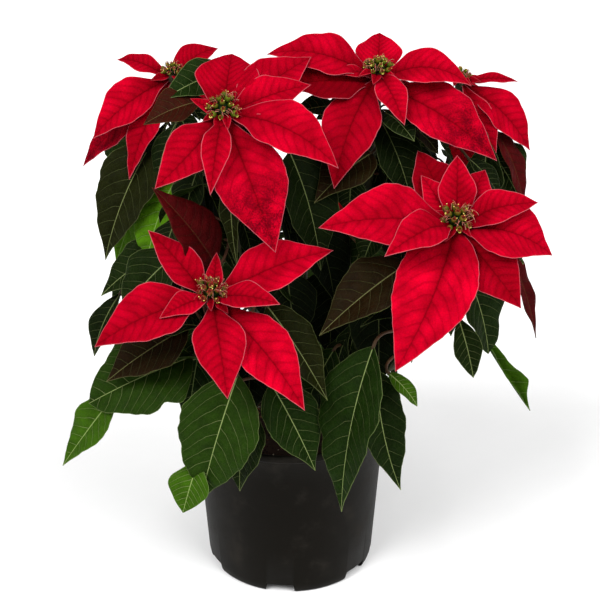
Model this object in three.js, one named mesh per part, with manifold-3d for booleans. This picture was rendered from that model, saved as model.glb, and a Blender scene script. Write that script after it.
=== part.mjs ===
// Poinsettia in its black nursery pot. Millimetres, +Z up, pot axis on the Z axis, pot feet on z = 0.
import * as THREE from "three";
import Module from "manifold-3d";

const wasm = await Module();
wasm.setup();
const { Manifold, Mesh } = wasm;

// ---- driving dimensions (mm, degrees) ----
const POT_HEIGHT = 114;
const POT_TOP_RADIUS = 66;
const POT_BASE_RADIUS = 54;
const POT_WALL = 1.8;
const POT_FLOOR = 8;
const POT_SHOULDER = 56;
const LIP_DEPTH = 5;
const LIP_STAND = 0.9;
const CENTRE_FOOT = 7;
const RECESS_RADIUS = 44;
const RECESS_HEIGHT = 6;
const FOOT_COUNT = 6;
const NOTCH_WIDTH = 19;
const NOTCH_HEIGHT = 6.5;
const NOTCH_TURN = -97.5;
const DRAIN_RADIUS = 4.5;
const DRAIN_CIRCLE = 36;
const SOIL_TOP = 103;
const SOIL_MOUND = 1.6;
const SOIL_CLEAR = 0.8;
const GAP = 0.3;
const TRUNK_RADIUS = 5.6;
const TRUNK_FOOT = 68;
const TRUNK_TOP = 152;
const BRANCH_RADIUS = 2.8;
const STALK_HALF = 1.1;
const STALK_THICKNESS = 1.6;
const BLADE_THICKNESS = 0.8;
const HUB_RADIUS = 3.4;
const HUB_HEIGHT = 20;
const HUB_RISE = 1.2;
const BRACT_ROOT = 2.2;
const CUP_COUNT = 5;
const CUP_CIRCLE = 3.8;
const CUP_TILT = 28;
const BRACT_FOLD = 12;
const BRACT_WAVE = 0.6;
const LEAF_FOLD = 14;
const LEAF_WAVE = 1.2;
const FACING_ROLL = 34;

// Blade plans: [share of the length, share of the half width], base to tip.
const BRACT_PLAN = [[0, 0.04], [0.18, 0.36], [0.36, 0.95], [0.58, 0.94], [0.83, 0.4], [1, 0]];
const TINY_PLAN = [[0, 0.05], [0.42, 1], [0.78, 0.58], [1, 0]];
const SMALL_PLAN = [[0, 0.05], [0.25, 0.7], [0.5, 1], [0.8, 0.5], [1, 0]];
const LEAF_PLAN = [[0, 0.04], [0.08, 0.5], [0.25, 0.95], [0.42, 1], [0.65, 0.7], [0.86, 0.24], [1, 0]];
const SHORT_LEAF_PLAN = [[0, 0.04], [0.1, 0.6], [0.32, 1], [0.58, 0.82], [0.84, 0.28], [1, 0]];
const LOBED_PLAN = [
  [0, 0.1], [0.1, 0.6], [0.24, 1], [0.36, 0.82], [0.5, 0.98], [0.66, 0.6], [0.86, 0.22], [1, 0],
];

// Shoots: centre of the bloom and the height at which the branch leaves the trunk.
const SHOOTS = {
  A: { bloom: [-75, 50, 331], from: 134, turn: 10 },
  B: { bloom: [-40, -35, 339], from: 146, turn: 200 },
  C: { bloom: [55, 10, 347], from: 144, turn: 80 },
  D: { bloom: [110, 50, 327], from: 130, turn: 150 },
  E: { bloom: [101, -60, 277], from: 122, turn: 30 },
  F: { bloom: [-47, -85, 241], from: 124, turn: 260 },
  H: { bloom: [10, 68, 234], from: 126, turn: 310 },
};

// Bracts: [azimuth, pitch, length, width, drop below the bloom centre, arch, added roll, sweep].
const BRACTS = {
  A: [
    [-163, -33, 62, 32, 4, 0.14, 0, 0], [178, -43, 80, 30, 11, 0.08, 0, 0],
    [-127, -51, 69, 24, 5, 0.08, 20, 0], [150, 8, 41, 14, 2, 0.15, 0, 0],
    [19, 32, 38, 22, 2, 0.18, -8, 0], [-42, 30, 17, 8, 1, 0.1, 0, 0], [75, -35, 55, 26, 8, 0.1, 0, 0],
    [120, -38, 60, 28, 9, 0.1, 0, 0], [30, -45, 52, 24, 10, 0.1, 0, 0],
  ],
  B: [
    [-141, -34, 60, 32, 4, 0.08, 0, 0.06], [-99, -42, 55, 18, 2, 0.08, 0, 0],
    [-59, -48, 88, 45, 5, 0.06, 0, 0], [-21, -19, 76, 36, 3, 0.1, 0, 0.06],
    [17, 14, 54, 20, 2, 0.08, 0, 0], [180, 38, 22, 10, 1, 0.1, 0, 0], [84, 34, 24, 10, 1, 0.1, 0, 0],
    [45, 15, 68, 28, 5, 0.08, -10, 0], [96, 31, 50, 46, 4, 0.1, 0, 0], [48, -30, 50, 24, 9, 0.1, 0, 0],
    [85, -34, 50, 24, 10, 0.1, 0, 0],
  ],
  C: [
    [168, 9, 68, 29, 2, 0.18, 0, 0], [-170, 2, 30, 9, 1, 0.1, 0, 0],
    [-120, -46, 76, 36, 5, 0.08, 0, -0.04], [-69, -25, 44, 20, 2, 0.12, 0, 0],
    [84, 38, 33, 27, 1, 0.1, 0, 0], [-5, -2, 56, 27, 3, 0.3, 0, 0], [-23, -26, 86, 40, 10, 0.12, 0, 0],
    [70, -32, 55, 25, 8, 0.1, 0, 0], [115, -34, 56, 26, 9, 0.1, 0, 0],
    [-166, -4, 60, 30, 8, 0.08, 0, 0],
  ],
  D: [
    [-51, -53, 55, 20, 3, 0.08, 0, 0], [-8, -45, 62, 30, 4, 0.13, 0, 0], [8, -2, 36, 9, 1, 0.12, 0, 0],
    [-85, -72, 56, 22, 11, 0.08, 0, 0], [50, -38, 55, 25, 8, 0.1, 0, 0],
    [95, -36, 55, 26, 9, 0.1, 0, 0], [140, -42, 50, 24, 10, 0.1, 0, 0],
  ],
  E: [
    [-170, 4, 83, 42, 4, 0.13, 0, 0], [-142, -8, 57, 27, 1, 0.1, 0, 0],
    [-124, -46, 95, 50, 6, 0.08, 0, 0], [-45, -34, 61, 34, 5, 0.08, 0, 0],
    [-10, -13, 58, 38, 5, 0.18, 0, 0], [24, 2, 49, 18, 1, 0.1, 0, 0], [136, 38, 35, 17, 2, 0.1, 0, 0],
    [80, 50, 40, 24, 1, 0.06, 0, 0], [46, 30, 33, 16, 2, 0.1, 0, 0], [115, 33, 58, 30, 5, 0.08, 0, 0],
    [75, -30, 56, 26, 9, 0.1, 0, 0],
  ],
  F: [
    [-163, -17, 74, 38, 4, 0.14, 0, 0], [-143, -5, 36, 17, 1, 0.1, 0, 0],
    [-78, -43, 63, 32, 5, 0.08, 0, 0], [-40, -35, 86, 36, 6, 0.06, 0, 0.03],
    [-27, 6, 45, 21, 1, 0.1, 0, 0], [12, 19, 77, 34, 3, 0.12, 0, 0], [146, 38, 57, 23, 3, 0.08, 0, 0],
    [83, 52, 31, 11, 1, 0.06, 0, 0], [85, -22, 36, 22, 9, 0.1, 0, 0],
  ],
  H: [
    [85, -18, 62, 36, 6, 0.08, 0, 0], [40, -24, 60, 32, 6, 0.08, 0, 0],
    [130, -22, 62, 34, 6, 0.08, 0, 0], [170, -20, 52, 26, 6, 0.08, 0, 0],
    [0, -24, 50, 26, 6, 0.08, 0, 0], [82, 6, 38, 18, 3, 0.1, 0, 0],
  ],
};

// Leaves: [x, y, z of the blade base, azimuth, pitch, length, width, arch, roll, sweep,
// share up the branch where the petiole leaves (0: grown on from the leaf before), kind
// (0 green, 1 green with lobes, 2 bronze)].
const LEAVES = {
  A: [
    [-88, 30, 293, -149, -63, 85, 44, 0.1, -25, 0, 0.88, 0],
    [-80, 38, 275, -149, -59, 76, 40, 0.1, -25, 0, 0.78, 0],
    [-110, 0, 198, -150, -63, 46, 20, 0.1, -20, 0, 0.5, 0],
    [-78, 2, 236, -170, -35, 54, 32, 0.1, -35, 0, 0.62, 0],
    [-66, 24, 289, -120, -67, 44, 30, 0.08, 0, 0, 0.85, 0],
    [-74, 12, 270, -140, -66, 54, 34, 0.08, -20, 0, 0.72, 0],
    [-70, 27, 322, -25, 12, 42, 18, 0.14, 10, 0, 0.95, 0],
    [-50, 14, 158, 178, -62, 50, 34, 0.08, 0, 0, 0.28, 0],
    [-88, 76, 292, 130, -55, 80, 46, 0.1, 0, 0, 0.85, 0],
    [-62, 74, 254, 105, -58, 84, 48, 0.1, 0, 0, 0.7, 0],
    [-84, 46, 222, 165, -62, 76, 44, 0.1, 0, 0, 0.55, 0],
  ],
  B: [
    [0, -17, 304, -55, -64, 76, 42, 0.08, 0, 0, 0.88, 0],
    [-42, -48, 258, 162, 40, 52, 36, 0.06, -55, 0, 0.75, 2],
    [-54, -18, 300, -126, -65, 46, 24, 0.08, 0, 0, 0.9, 0],
    [-36, -38, 300, -70, -79, 62, 14, 0.05, 50, 0, 0.9, 0],
    [-72, -32, 246, -172, -48, 54, 36, 0.1, -35, 0, 0.65, 0],
    [-54, -24, 328, 172, -18, 42, 26, 0.12, -20, 0, 0.95, 2],
    [9, 5, 262, -52, -63, 70, 44, 0.08, 0, 0, 0.8, 0],
    [-23, 0, 243, -72, -66, 60, 42, 0.08, 0, 0, 0.7, 0],
    [-54, -22, 240, -123, -63, 50, 38, 0.08, 0, 0, 0.62, 0],
  ],
  C: [
    [58, 6, 314, -48, -60, 56, 34, 0.08, 10, 0, 0.93, 0],
    [51, -10, 300, -143, -26, 50, 34, 0.08, -20, 0, 0.85, 2],
    [29, 0, 216, -96, -55, 60, 44, 0.08, 0, 0, 0.6, 0],
    [36, 14, 322, -160, -2, 40, 16, 0.08, -20, 0, 0.96, 0],
    [68, 4, 318, -14, -40, 34, 22, 0.1, 20, 0, 0.95, 2],
    [62, 42, 292, 75, -52, 76, 44, 0.1, 0, 0, 0.85, 0],
    [60, 10, 276, -64, -65, 66, 44, 0.08, 0, 0, 0.75, 0],
  ],
  D: [
    [134, 40, 294, -29, -67, 54, 20, 0.08, 10, 0, 0.94, 2],
    [127, 50, 284, -35, -50, 42, 38, 0.08, 35, 0, 0.88, 0],
    [138, 4, 234, -6, -71, 75, 14, 0.05, 40, 0, 0.75, 2],
    [122, 72, 276, 45, -60, 74, 44, 0.1, 0, 0, 0.88, 0],
    [100, 74, 246, 78, -60, 84, 48, 0.1, 0, 0, 0.7, 0],
    [112, 48, 222, 8, -68, 66, 34, 0.1, 10, 0, 0.62, 0],
    [50, 14, 158, 2, -62, 50, 34, 0.08, 0, 0, 0.24, 0],
    [98, 20, 226, -70, -69, 64, 40, 0.08, 10, 0, 0.6, 0],
  ],
  E: [
    [51, -84, 203, -127, -73, 108, 50, 0.06, 10, 0, 0.6, 0],
    [54, -59, 173, -46, -73, 82, 31, 0.06, 25, -0.06, 0.48, 0],
    [63, -68, 174, -28, -35, 22, 10, 0.1, 20, 0, 0.55, 0],
    [72, -68, 252, -156, -32, 70, 38, 0.06, -25, 0, 0.93, 2],
    [111, -28, 228, -34, -71, 58, 37, 0.06, 10, 0, 0.8, 1],
    [106, -46, 203, -46, -69, 40, 20, 0.08, 30, 0, 0.65, 0],
    [114, -31, 203, -8, -59, 85, 17, -0.03, 50, 0, 0.7, 0],
    [118, -44, 254, 42, -34, 50, 24, 0.1, 20, 0, 0.93, 0],
    [28, -45, 180, -137, -57, 58, 40, 0.06, 0, 0, 0.3, 0],
    [56, -28, 222, -90, -62, 70, 40, 0.06, 0, 0, 0.65, 0],
  ],
  F: [
    [-34, -92, 188, -165, -74, 90, 46, 0.1, -60, 0, 0.7, 0],
    [-61, -74, 191, -171, -24, 76, 51, 0.08, -48, 0, 0.78, 1],
    [-108, -86, 171, 177, -58, 65, 25, 0.04, -50, 0, 0, 0],
    [-57, -98, 130, -130, -63, 34, 28, 0.05, -20, 0, 0, 0],
    [-52, -48, 206, -120, -70, 74, 38, 0.06, -10, 0, 0.6, 0],
    [-32, -78, 162, -107, -82, 62, 26, 0.05, 0, 0, 0.42, 0],
    [-12, -76, 173, -33, -58, 62, 38, 0.06, 30, 0, 0.6, 0],
    [-62, -80, 214, -168, -34, 56, 30, 0.06, -35, 0, 0.92, 2],
    [-14, -66, 222, -41, -45, 69, 30, 0.06, 20, 0, 0.88, 0],
    [-26, -35, 185, -90, -59, 52, 44, 0.06, 0, 0, 0.3, 0],
    [-2, -32, 228, -78, -60, 48, 34, 0.06, 0, 0, 0.66, 0],
  ],
  H: [
    [38, 82, 200, 50, -60, 76, 46, 0.1, 0, 0, 0.8, 0],
    [-18, 84, 202, 130, -60, 76, 46, 0.1, 0, 0, 0.8, 0],
    [10, 88, 186, 88, -66, 84, 48, 0.1, 0, 0, 0.7, 0],
    [54, 60, 176, 22, -64, 78, 46, 0.1, 0, 0, 0.6, 0],
    [-44, 62, 176, 158, -64, 78, 46, 0.1, 0, 0, 0.6, 0],
    [14, 72, 146, 75, -58, 70, 40, 0.1, 0, 0, 0.4, 0],
  ],
};

// ---- small helpers ----
const rad = (degrees) => (degrees * Math.PI) / 180;

function solid(vertices, triangles) {
  const mesh = new Mesh({
    numProp: 3,
    vertProperties: new Float32Array(vertices.flat()),
    triVerts: new Uint32Array(triangles.flat()),
  });
  return Manifold.ofMesh(mesh);
}

// Turns a three.js surface into a solid, welding the corners that meet.
function weld(geometry) {
  const places = geometry.attributes.position;
  const index = geometry.index ? geometry.index.array : [...Array(places.count).keys()];
  const seen = new Map();
  const vertices = [];
  const renumber = [];
  for (let i = 0; i < places.count; i++) {
    const p = [places.getX(i), places.getY(i), places.getZ(i)];
    const key = p.map((c) => Math.round(c * 1000)).join(",");
    if (!seen.has(key)) {
      seen.set(key, vertices.length);
      vertices.push(p);
    }
    renumber.push(seen.get(key));
  }
  const triangles = [];
  for (let i = 0; i < index.length; i += 3) {
    const t = [renumber[index[i]], renumber[index[i + 1]], renumber[index[i + 2]]];
    if (t[0] !== t[1] && t[1] !== t[2] && t[0] !== t[2]) {
      triangles.push(t);
    }
  }
  return solid(vertices, triangles);
}

// Solid of revolution about Z from [radius, height] points, closed on the axis.
function lathe(points, segments) {
  const profile = points.map(([r, z]) => new THREE.Vector2(r, z));
  const geometry = new THREE.LatheGeometry(profile, segments);
  geometry.rotateX(Math.PI / 2);
  return weld(geometry);
}

// Round rod along a curve.
function rod(curve, radius, sides, steps) {
  const outline = new THREE.Shape();
  for (let i = 0; i < sides; i++) {
    const a = (2 * Math.PI * i) / sides;
    if (i === 0) {
      outline.moveTo(radius * Math.cos(a), radius * Math.sin(a));
    } else {
      outline.lineTo(radius * Math.cos(a), radius * Math.sin(a));
    }
  }
  outline.closePath();
  return weld(new THREE.ExtrudeGeometry(outline, { steps, bevelEnabled: false, extrudePath: curve }));
}

// ---- blades ----
// A blade runs from its base along a chord set by azimuth and pitch. Its midrib bows off the
// chord by arch and to one side by sweep, its two halves fold up about the midrib, and its
// margins wave. A stalk, where there is one, leads into the base as part of the same skin.
function blade(spec) {
  const { root, azimuth, pitch, length, width, arch, roll, sweep, fold, wave, plan, stalk } = spec;
  const a = rad(azimuth);
  const p = rad(pitch);
  const chord = new THREE.Vector3(Math.cos(p) * Math.cos(a), Math.cos(p) * Math.sin(a), Math.sin(p));
  const side = new THREE.Vector3(-Math.sin(a), Math.cos(a), 0).applyAxisAngle(chord, rad(roll));
  const face = new THREE.Vector3().crossVectors(chord, side);
  const stations = plan.map(([t, share], i) => {
    const bow = arch * length * 4 * t * (1 - t);
    const tangent = chord.clone().addScaledVector(face, arch * 4 * (1 - 2 * t)).normalize();
    const centre = root.clone().addScaledVector(chord, length * t).addScaledVector(face, bow);
    centre.addScaledVector(side, sweep * length * 4 * t * (1 - t));
    return {
      centre,
      side,
      normal: new THREE.Vector3().crossVectors(tangent, side).normalize(),
      half: Math.max(i === 0 ? STALK_HALF : 0.5, (width / 2) * share),
      fold: rad(fold),
      swing: wave * share * Math.sin(2.3 * i),
      thick: i === 0 ? STALK_THICKNESS : BLADE_THICKNESS,
    };
  });
  if (stalk) {
    let across = side;
    for (const u of [0.6, 0]) {
      const tangent = stalk.getTangent(u);
      across = across.clone().addScaledVector(tangent, -across.dot(tangent)).normalize();
      stations.unshift({
        centre: stalk.getPoint(u),
        side: across,
        normal: new THREE.Vector3().crossVectors(tangent, across).normalize(),
        half: STALK_HALF,
        fold: 0,
        swing: 0,
        thick: STALK_THICKNESS,
      });
    }
  }
  return skin(stations);
}

// Closed skin over stations, three corners above and three below at each.
function skin(stations) {
  const top = [];
  const bottom = [];
  for (const station of stations) {
    for (const v of [1, 0, -1]) {
      const point = station.centre.clone();
      point.addScaledVector(station.side, v * station.half * Math.cos(station.fold));
      const lift = Math.abs(v) * station.half * Math.sin(station.fold) + v * station.swing;
      point.addScaledVector(station.normal, lift);
      top.push(point.clone().addScaledVector(station.normal, station.thick / 2).toArray());
      bottom.push(point.clone().addScaledVector(station.normal, -station.thick / 2).toArray());
    }
  }
  const count = top.length;
  const triangles = [];
  const quad = (i, j, k, l) => {
    triangles.push([i, j, k]);
    triangles.push([i, k, l]);
  };
  for (let r = 0; r + 3 < count; r += 3) {
    quad(r, r + 1, r + 4, r + 3);
    quad(r + 1, r + 2, r + 5, r + 4);
    triangles.push([count + r, count + r + 4, count + r + 1]);
    triangles.push([count + r, count + r + 3, count + r + 4]);
    triangles.push([count + r + 1, count + r + 5, count + r + 2]);
    triangles.push([count + r + 1, count + r + 4, count + r + 5]);
    quad(r, r + 3, count + r + 3, count + r);
    quad(r + 5, r + 2, count + r + 2, count + r + 5);
  }
  const e = count - 3;
  quad(1, 0, count, count + 1);
  quad(2, 1, count + 1, count + 2);
  quad(e, e + 1, count + e + 1, count + e);
  quad(e + 1, e + 2, count + e + 2, count + e + 1);
  return solid(top.concat(bottom), triangles);
}

// Course of a shoot's branch, from inside the trunk to just under the bloom.
function branchCurve(shoot) {
  const [x, y, z] = shoot.bloom;
  const reach = Math.hypot(x, y);
  const out = new THREE.Vector3(x / reach, y / reach, 0);
  const start = new THREE.Vector3(0, 0, shoot.from);
  const end = new THREE.Vector3(x, y, z - HUB_HEIGHT - GAP);
  const low = start.clone().addScaledVector(out, reach * 0.6).add(new THREE.Vector3(0, 0, 18));
  const high = end.clone().add(new THREE.Vector3(0, 0, -55));
  return new THREE.CubicBezierCurve3(start, low, high, end);
}

// Course of a leaf's stalk from the branch to the base of its blade.
function stalkCurve(curve, share, base, azimuth, pitch) {
  const from = curve.getPoint(share);
  const a = rad(azimuth);
  const p = rad(pitch);
  const along = new THREE.Vector3(Math.cos(p) * Math.cos(a), Math.cos(p) * Math.sin(a), Math.sin(p));
  const bend = base.clone().addScaledVector(along, -0.35 * from.distanceTo(base));
  return new THREE.QuadraticBezierCurve3(from, bend, base);
}

// ---- nodes ----
// Joins shapes into one body; a hollow sealed by the joining is filled and loose scrap is dropped.
function fuse(shapes) {
  const bodies = Manifold.union(shapes).decompose();
  const outer = bodies.filter((body) => body.volume() > 0);
  outer.sort((one, other) => other.volume() - one.volume());
  if (outer.length > 1 && outer[1].volume() > 2) {
    throw new Error("a blade has come loose");
  }
  return outer[0];
}

// Tapered shell with a lip, a rounded lower edge and a recessed underside. Notches part its
// foot ring into feet, and a small foot stands in the middle.
function buildPot() {
  const lip = POT_TOP_RADIUS + LIP_STAND;
  const shell = lathe([
    [0, 0], [CENTRE_FOOT, 0], [CENTRE_FOOT + 1, RECESS_HEIGHT], [RECESS_RADIUS, RECESS_HEIGHT],
    [RECESS_RADIUS + 3, 0], [POT_BASE_RADIUS - 1.4, 0], [POT_BASE_RADIUS + 1, 2.4], [POT_SHOULDER, 7],
    [POT_TOP_RADIUS - 0.6, POT_HEIGHT - LIP_DEPTH - 1], [lip, POT_HEIGHT - LIP_DEPTH],
    [lip, POT_HEIGHT - 0.8], [POT_TOP_RADIUS - 0.2, POT_HEIGHT],
    [POT_TOP_RADIUS - POT_WALL - 0.6, POT_HEIGHT - LIP_DEPTH - 1], [POT_SHOULDER - POT_WALL, POT_FLOOR + 3],
    [POT_SHOULDER - 5, POT_FLOOR], [0, POT_FLOOR],
  ], 28);
  const cutters = [];
  for (let i = 0; i < FOOT_COUNT; i++) {
    const turn = NOTCH_TURN + (360 / FOOT_COUNT) * i;
    const notch = weld(new THREE.BoxGeometry(24, NOTCH_WIDTH, NOTCH_HEIGHT + 2));
    cutters.push(notch.translate([52, 0, (NOTCH_HEIGHT - 2) / 2]).rotate([0, 0, turn]));
    const drain = lathe([[0, 3], [DRAIN_RADIUS, 3], [DRAIN_RADIUS, 11], [0, 11]], 6);
    cutters.push(drain.translate([DRAIN_CIRCLE, 0, 0]).rotate([0, 0, turn]));
  }
  return Manifold.difference([shell, ...cutters]);
}

// Plug of growing mix, a little inside the pot's walls, with a blind hole for the trunk.
function buildSoil() {
  const low = { radius: POT_SHOULDER - POT_WALL, z: POT_FLOOR + 3 };
  const high = { radius: POT_TOP_RADIUS - POT_WALL - 0.6, z: POT_HEIGHT - LIP_DEPTH - 1 };
  const share = (SOIL_TOP - low.z) / (high.z - low.z);
  const topRadius = low.radius + (high.radius - low.radius) * share;
  const hole = TRUNK_RADIUS + GAP;
  return lathe([
    [0, POT_FLOOR + GAP], [POT_SHOULDER - 5 - GAP, POT_FLOOR + GAP], [low.radius - SOIL_CLEAR, low.z + GAP],
    [topRadius - SOIL_CLEAR, SOIL_TOP], [RECESS_RADIUS, SOIL_TOP + SOIL_MOUND], [20, SOIL_TOP + 0.8],
    [hole, SOIL_TOP + SOIL_MOUND], [hole, TRUNK_FOOT - GAP], [0, TRUNK_FOOT - GAP],
  ], 16);
}

// Fewer stations on the smaller leaves.
function leafPlan(length, kind) {
  if (kind === 1) {
    return LOBED_PLAN;
  }
  if (length < 48) {
    return SMALL_PLAN;
  }
  return length < 85 ? SHORT_LEAF_PLAN : LEAF_PLAN;
}

function bractPlan(length) {
  if (length < 32) {
    return TINY_PLAN;
  }
  return length < 51 ? SMALL_PLAN : BRACT_PLAN;
}

// The trunk, grown by extra all round where it cuts the branches short.
function trunkShape(extra) {
  return lathe([
    [0, TRUNK_FOOT - extra], [TRUNK_RADIUS + extra, TRUNK_FOOT - extra], [TRUNK_RADIUS + extra, 112],
    [TRUNK_RADIUS - 0.4 + extra, TRUNK_TOP - 4], [TRUNK_RADIUS - 1.6 + extra, TRUNK_TOP + extra],
    [0, TRUNK_TOP + extra],
  ], 14);
}

function buildStem(name) {
  const curve = branchCurve(SHOOTS[name]);
  const shapes = [rod(curve, BRANCH_RADIUS, 6, 5)];
  for (const row of LEAVES[name]) {
    const [x, y, z, azimuth, pitch, length, width, arch, roll, sweep, share, kind] = row;
    const root = new THREE.Vector3(x, y, z);
    const plan = leafPlan(length, kind);
    const stalk = share > 0 ? stalkCurve(curve, share, root, azimuth, pitch) : null;
    const bends = { azimuth, pitch, arch, roll, sweep, fold: LEAF_FOLD, wave: LEAF_WAVE };
    shapes.push(blade({ root, length, width, plan, stalk, ...bends }));
  }
  return Manifold.difference([fuse(shapes), trunkShape(GAP)]);
}

// A bloom's hub and bracts, about the bloom's centre. A bract that climbs or arches strongly
// starts lower on the hub, so that it passes below the cyathia.
function buildBracts(name) {
  const top = HUB_HEIGHT + HUB_RISE;
  const hub = lathe([[0, 0], [BRANCH_RADIUS, 0], [HUB_RADIUS, top - 4], [HUB_RADIUS, top], [0, top]], 7);
  const shapes = [hub.translate([0, 0, -HUB_HEIGHT])];
  for (const row of BRACTS[name]) {
    const [azimuth, pitch, length, width, drop, arch, added, sweep] = row;
    const a = rad(azimuth);
    const climb = 2 * BRACT_ROOT * (Math.tan(rad(pitch)) + 4 * arch);
    const sink = Math.max(drop, HUB_RISE + climb);
    const root = new THREE.Vector3(BRACT_ROOT * Math.cos(a), BRACT_ROOT * Math.sin(a), -sink);
    const roll = FACING_ROLL * Math.cos(a) + added;
    const plan = bractPlan(length);
    const bends = { azimuth, pitch, arch, roll, sweep, fold: BRACT_FOLD, wave: BRACT_WAVE };
    shapes.push(blade({ root, length, width, plan, ...bends }));
  }
  return fuse(shapes);
}

// A dish that carries a ring of leaning cups, about the bloom's centre.
function buildCyathia(turn) {
  const shapes = [lathe([[0, 0], [3.6, 0], [5.2, 2.4], [0, 3.4]], 6)];
  for (let i = 0; i < CUP_COUNT; i++) {
    const cup = lathe([[0, 0], [2.1, 2.6], [0, 5.4]], 5).rotate([0, CUP_TILT, 0]);
    shapes.push(cup.translate([CUP_CIRCLE, 0, 1.4]).rotate([0, 0, turn + (360 / CUP_COUNT) * i]));
  }
  return fuse(shapes).translate([0, 0, HUB_RISE + GAP]);
}

function toMesh(name, shape, material) {
  const mesh = shape.getMesh();
  const geometry = new THREE.BufferGeometry();
  geometry.setAttribute("position", new THREE.BufferAttribute(new Float32Array(mesh.vertProperties), 3));
  geometry.setIndex(new THREE.BufferAttribute(new Uint32Array(mesh.triVerts), 1));
  geometry.computeVertexNormals();
  const node = new THREE.Mesh(geometry, material);
  node.name = name;
  return node;
}

const paint = (color, roughness) => new THREE.MeshStandardMaterial({ color, roughness, metalness: 0 });

const plant = new THREE.Group();
plant.name = "potted_poinsettia";
plant.add(toMesh("pot", buildPot(), paint(0x1c1b19, 0.55)));
plant.add(toMesh("soil", buildSoil(), paint(0x241711, 0.95)));
plant.add(toMesh("trunk", trunkShape(0), paint(0x5a4f35, 0.8)));
for (const [name, shoot] of Object.entries(SHOOTS)) {
  const bloom = new THREE.Group();
  bloom.position.set(...shoot.bloom);
  bloom.add(toMesh(`bracts_${name}`, buildBracts(name), paint(0xc00220, 0.6)));
  bloom.add(toMesh(`cyathia_${name}`, buildCyathia(shoot.turn), paint(0x7c8a2e, 0.6)));
  plant.add(toMesh(`stem_${name}`, buildStem(name), paint(0x1f3a14, 0.6)));
  plant.add(bloom);
}

export default plant;
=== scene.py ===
"""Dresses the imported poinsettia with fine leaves, bracts, flowers, bark, growing mix and pot."""
import math
from collections import namedtuple

import bpy
import numpy as np
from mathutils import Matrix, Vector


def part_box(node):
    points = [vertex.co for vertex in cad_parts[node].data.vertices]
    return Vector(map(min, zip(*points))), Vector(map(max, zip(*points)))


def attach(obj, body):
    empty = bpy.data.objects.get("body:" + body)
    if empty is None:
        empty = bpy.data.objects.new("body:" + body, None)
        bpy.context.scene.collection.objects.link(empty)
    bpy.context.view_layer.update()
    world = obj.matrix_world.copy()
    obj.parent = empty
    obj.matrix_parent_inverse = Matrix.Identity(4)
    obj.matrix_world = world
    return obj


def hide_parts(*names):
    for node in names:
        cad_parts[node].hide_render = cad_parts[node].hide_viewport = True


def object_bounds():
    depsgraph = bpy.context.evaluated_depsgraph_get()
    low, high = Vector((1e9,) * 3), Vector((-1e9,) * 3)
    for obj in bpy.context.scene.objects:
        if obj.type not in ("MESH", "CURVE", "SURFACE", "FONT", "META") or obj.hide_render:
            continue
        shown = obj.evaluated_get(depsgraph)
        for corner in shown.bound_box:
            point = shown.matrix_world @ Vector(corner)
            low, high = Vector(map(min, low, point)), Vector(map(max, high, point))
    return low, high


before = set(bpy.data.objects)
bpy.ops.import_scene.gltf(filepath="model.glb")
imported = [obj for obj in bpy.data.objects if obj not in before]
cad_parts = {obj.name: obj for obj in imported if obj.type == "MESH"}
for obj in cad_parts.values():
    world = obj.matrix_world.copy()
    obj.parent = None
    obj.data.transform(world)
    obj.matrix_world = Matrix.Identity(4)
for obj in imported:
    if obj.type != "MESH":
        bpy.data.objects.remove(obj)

bl_info = {
    "name": "Potted Poinsettia",
    "version": (1, 0, 0),
    "blender": (4, 5, 0),
    "location": "View3D > Sidebar > Poinsettia",
    "description": "Grows the fine surfaces of a potted poinsettia round its packed frame",
    "category": "Object",
}

# ---- sizes, in millimetres and degrees; the mesh is turned to metres when it is written ----
MM = 0.001
CAD_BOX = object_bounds()
POT_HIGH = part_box("pot")[1]
POT_HEIGHT = POT_HIGH.z / MM
LIP_STAND = 0.9
POT_TOP_RADIUS = POT_HIGH.y / MM - LIP_STAND
POT_BASE_RADIUS = 54
POT_WALL = 1.8
POT_FLOOR = 8
POT_SHOULDER = 56
LIP_DEPTH = 5
CENTRE_FOOT = 7
RECESS_RADIUS = 44
RECESS_HEIGHT = 6
FOOT_COUNT = 6
NOTCH_WIDTH = 19
NOTCH_HEIGHT = 6.5
NOTCH_TURN = -97.5
SOIL_TOP = 103
SOIL_CLEAR = 0.8
CRUMB_REACH = 58
CRUMB_SEED = 41
TRUNK_RADIUS = 5.6
TRUNK_FOOT = 68
TRUNK_TOP = 152
TRUNK_RINGS = (108, 119, 131, 143)
BRANCH_RADIUS = 2.8
STALK_RADIUS = 1.0
STALK_STEPS = 18
STALK_SIDES = 8
HUB_RADIUS = 3.4
HUB_HEIGHT = 20
HUB_RISE = 1.2
BRACT_ROOT = 2.2
BRACTLET_COUNT = 8
BRACTLET_ROOT = 2.6
BRACTLET_SINK = 1.6
CUP_HEIGHT = 4.8
CUP_SIDES = 14
STAMEN_COUNT = 5
THREAD_COUNT = 28
GAP = 0.3
SHUT_FOLD = 55
FACING_ROLL = 34
VEIN_LEAN = 0.42
VEIN_CURVE = 0.030
VEIN_SPACING = (2.6, 9.5)
MARGIN_WAVES = (17, 7.3)
PUCKER_WAVES = (26, 9)
INSIDE_MARGIN = 0.965
SENSOR_WIDTH = 36
FLOOR_HALF = 6000
LEFT_LIGHT = (-1200, -1500, 2200)
RIGHT_LIGHT = (1300, -1300, 2000)

# Where the seeds of the inner leaves, bracts and bractlets start in a shoot's hundred.
INNER_SEED, BRACT_SEED, BRACTLET_SEED = 20, 50, 80

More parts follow.
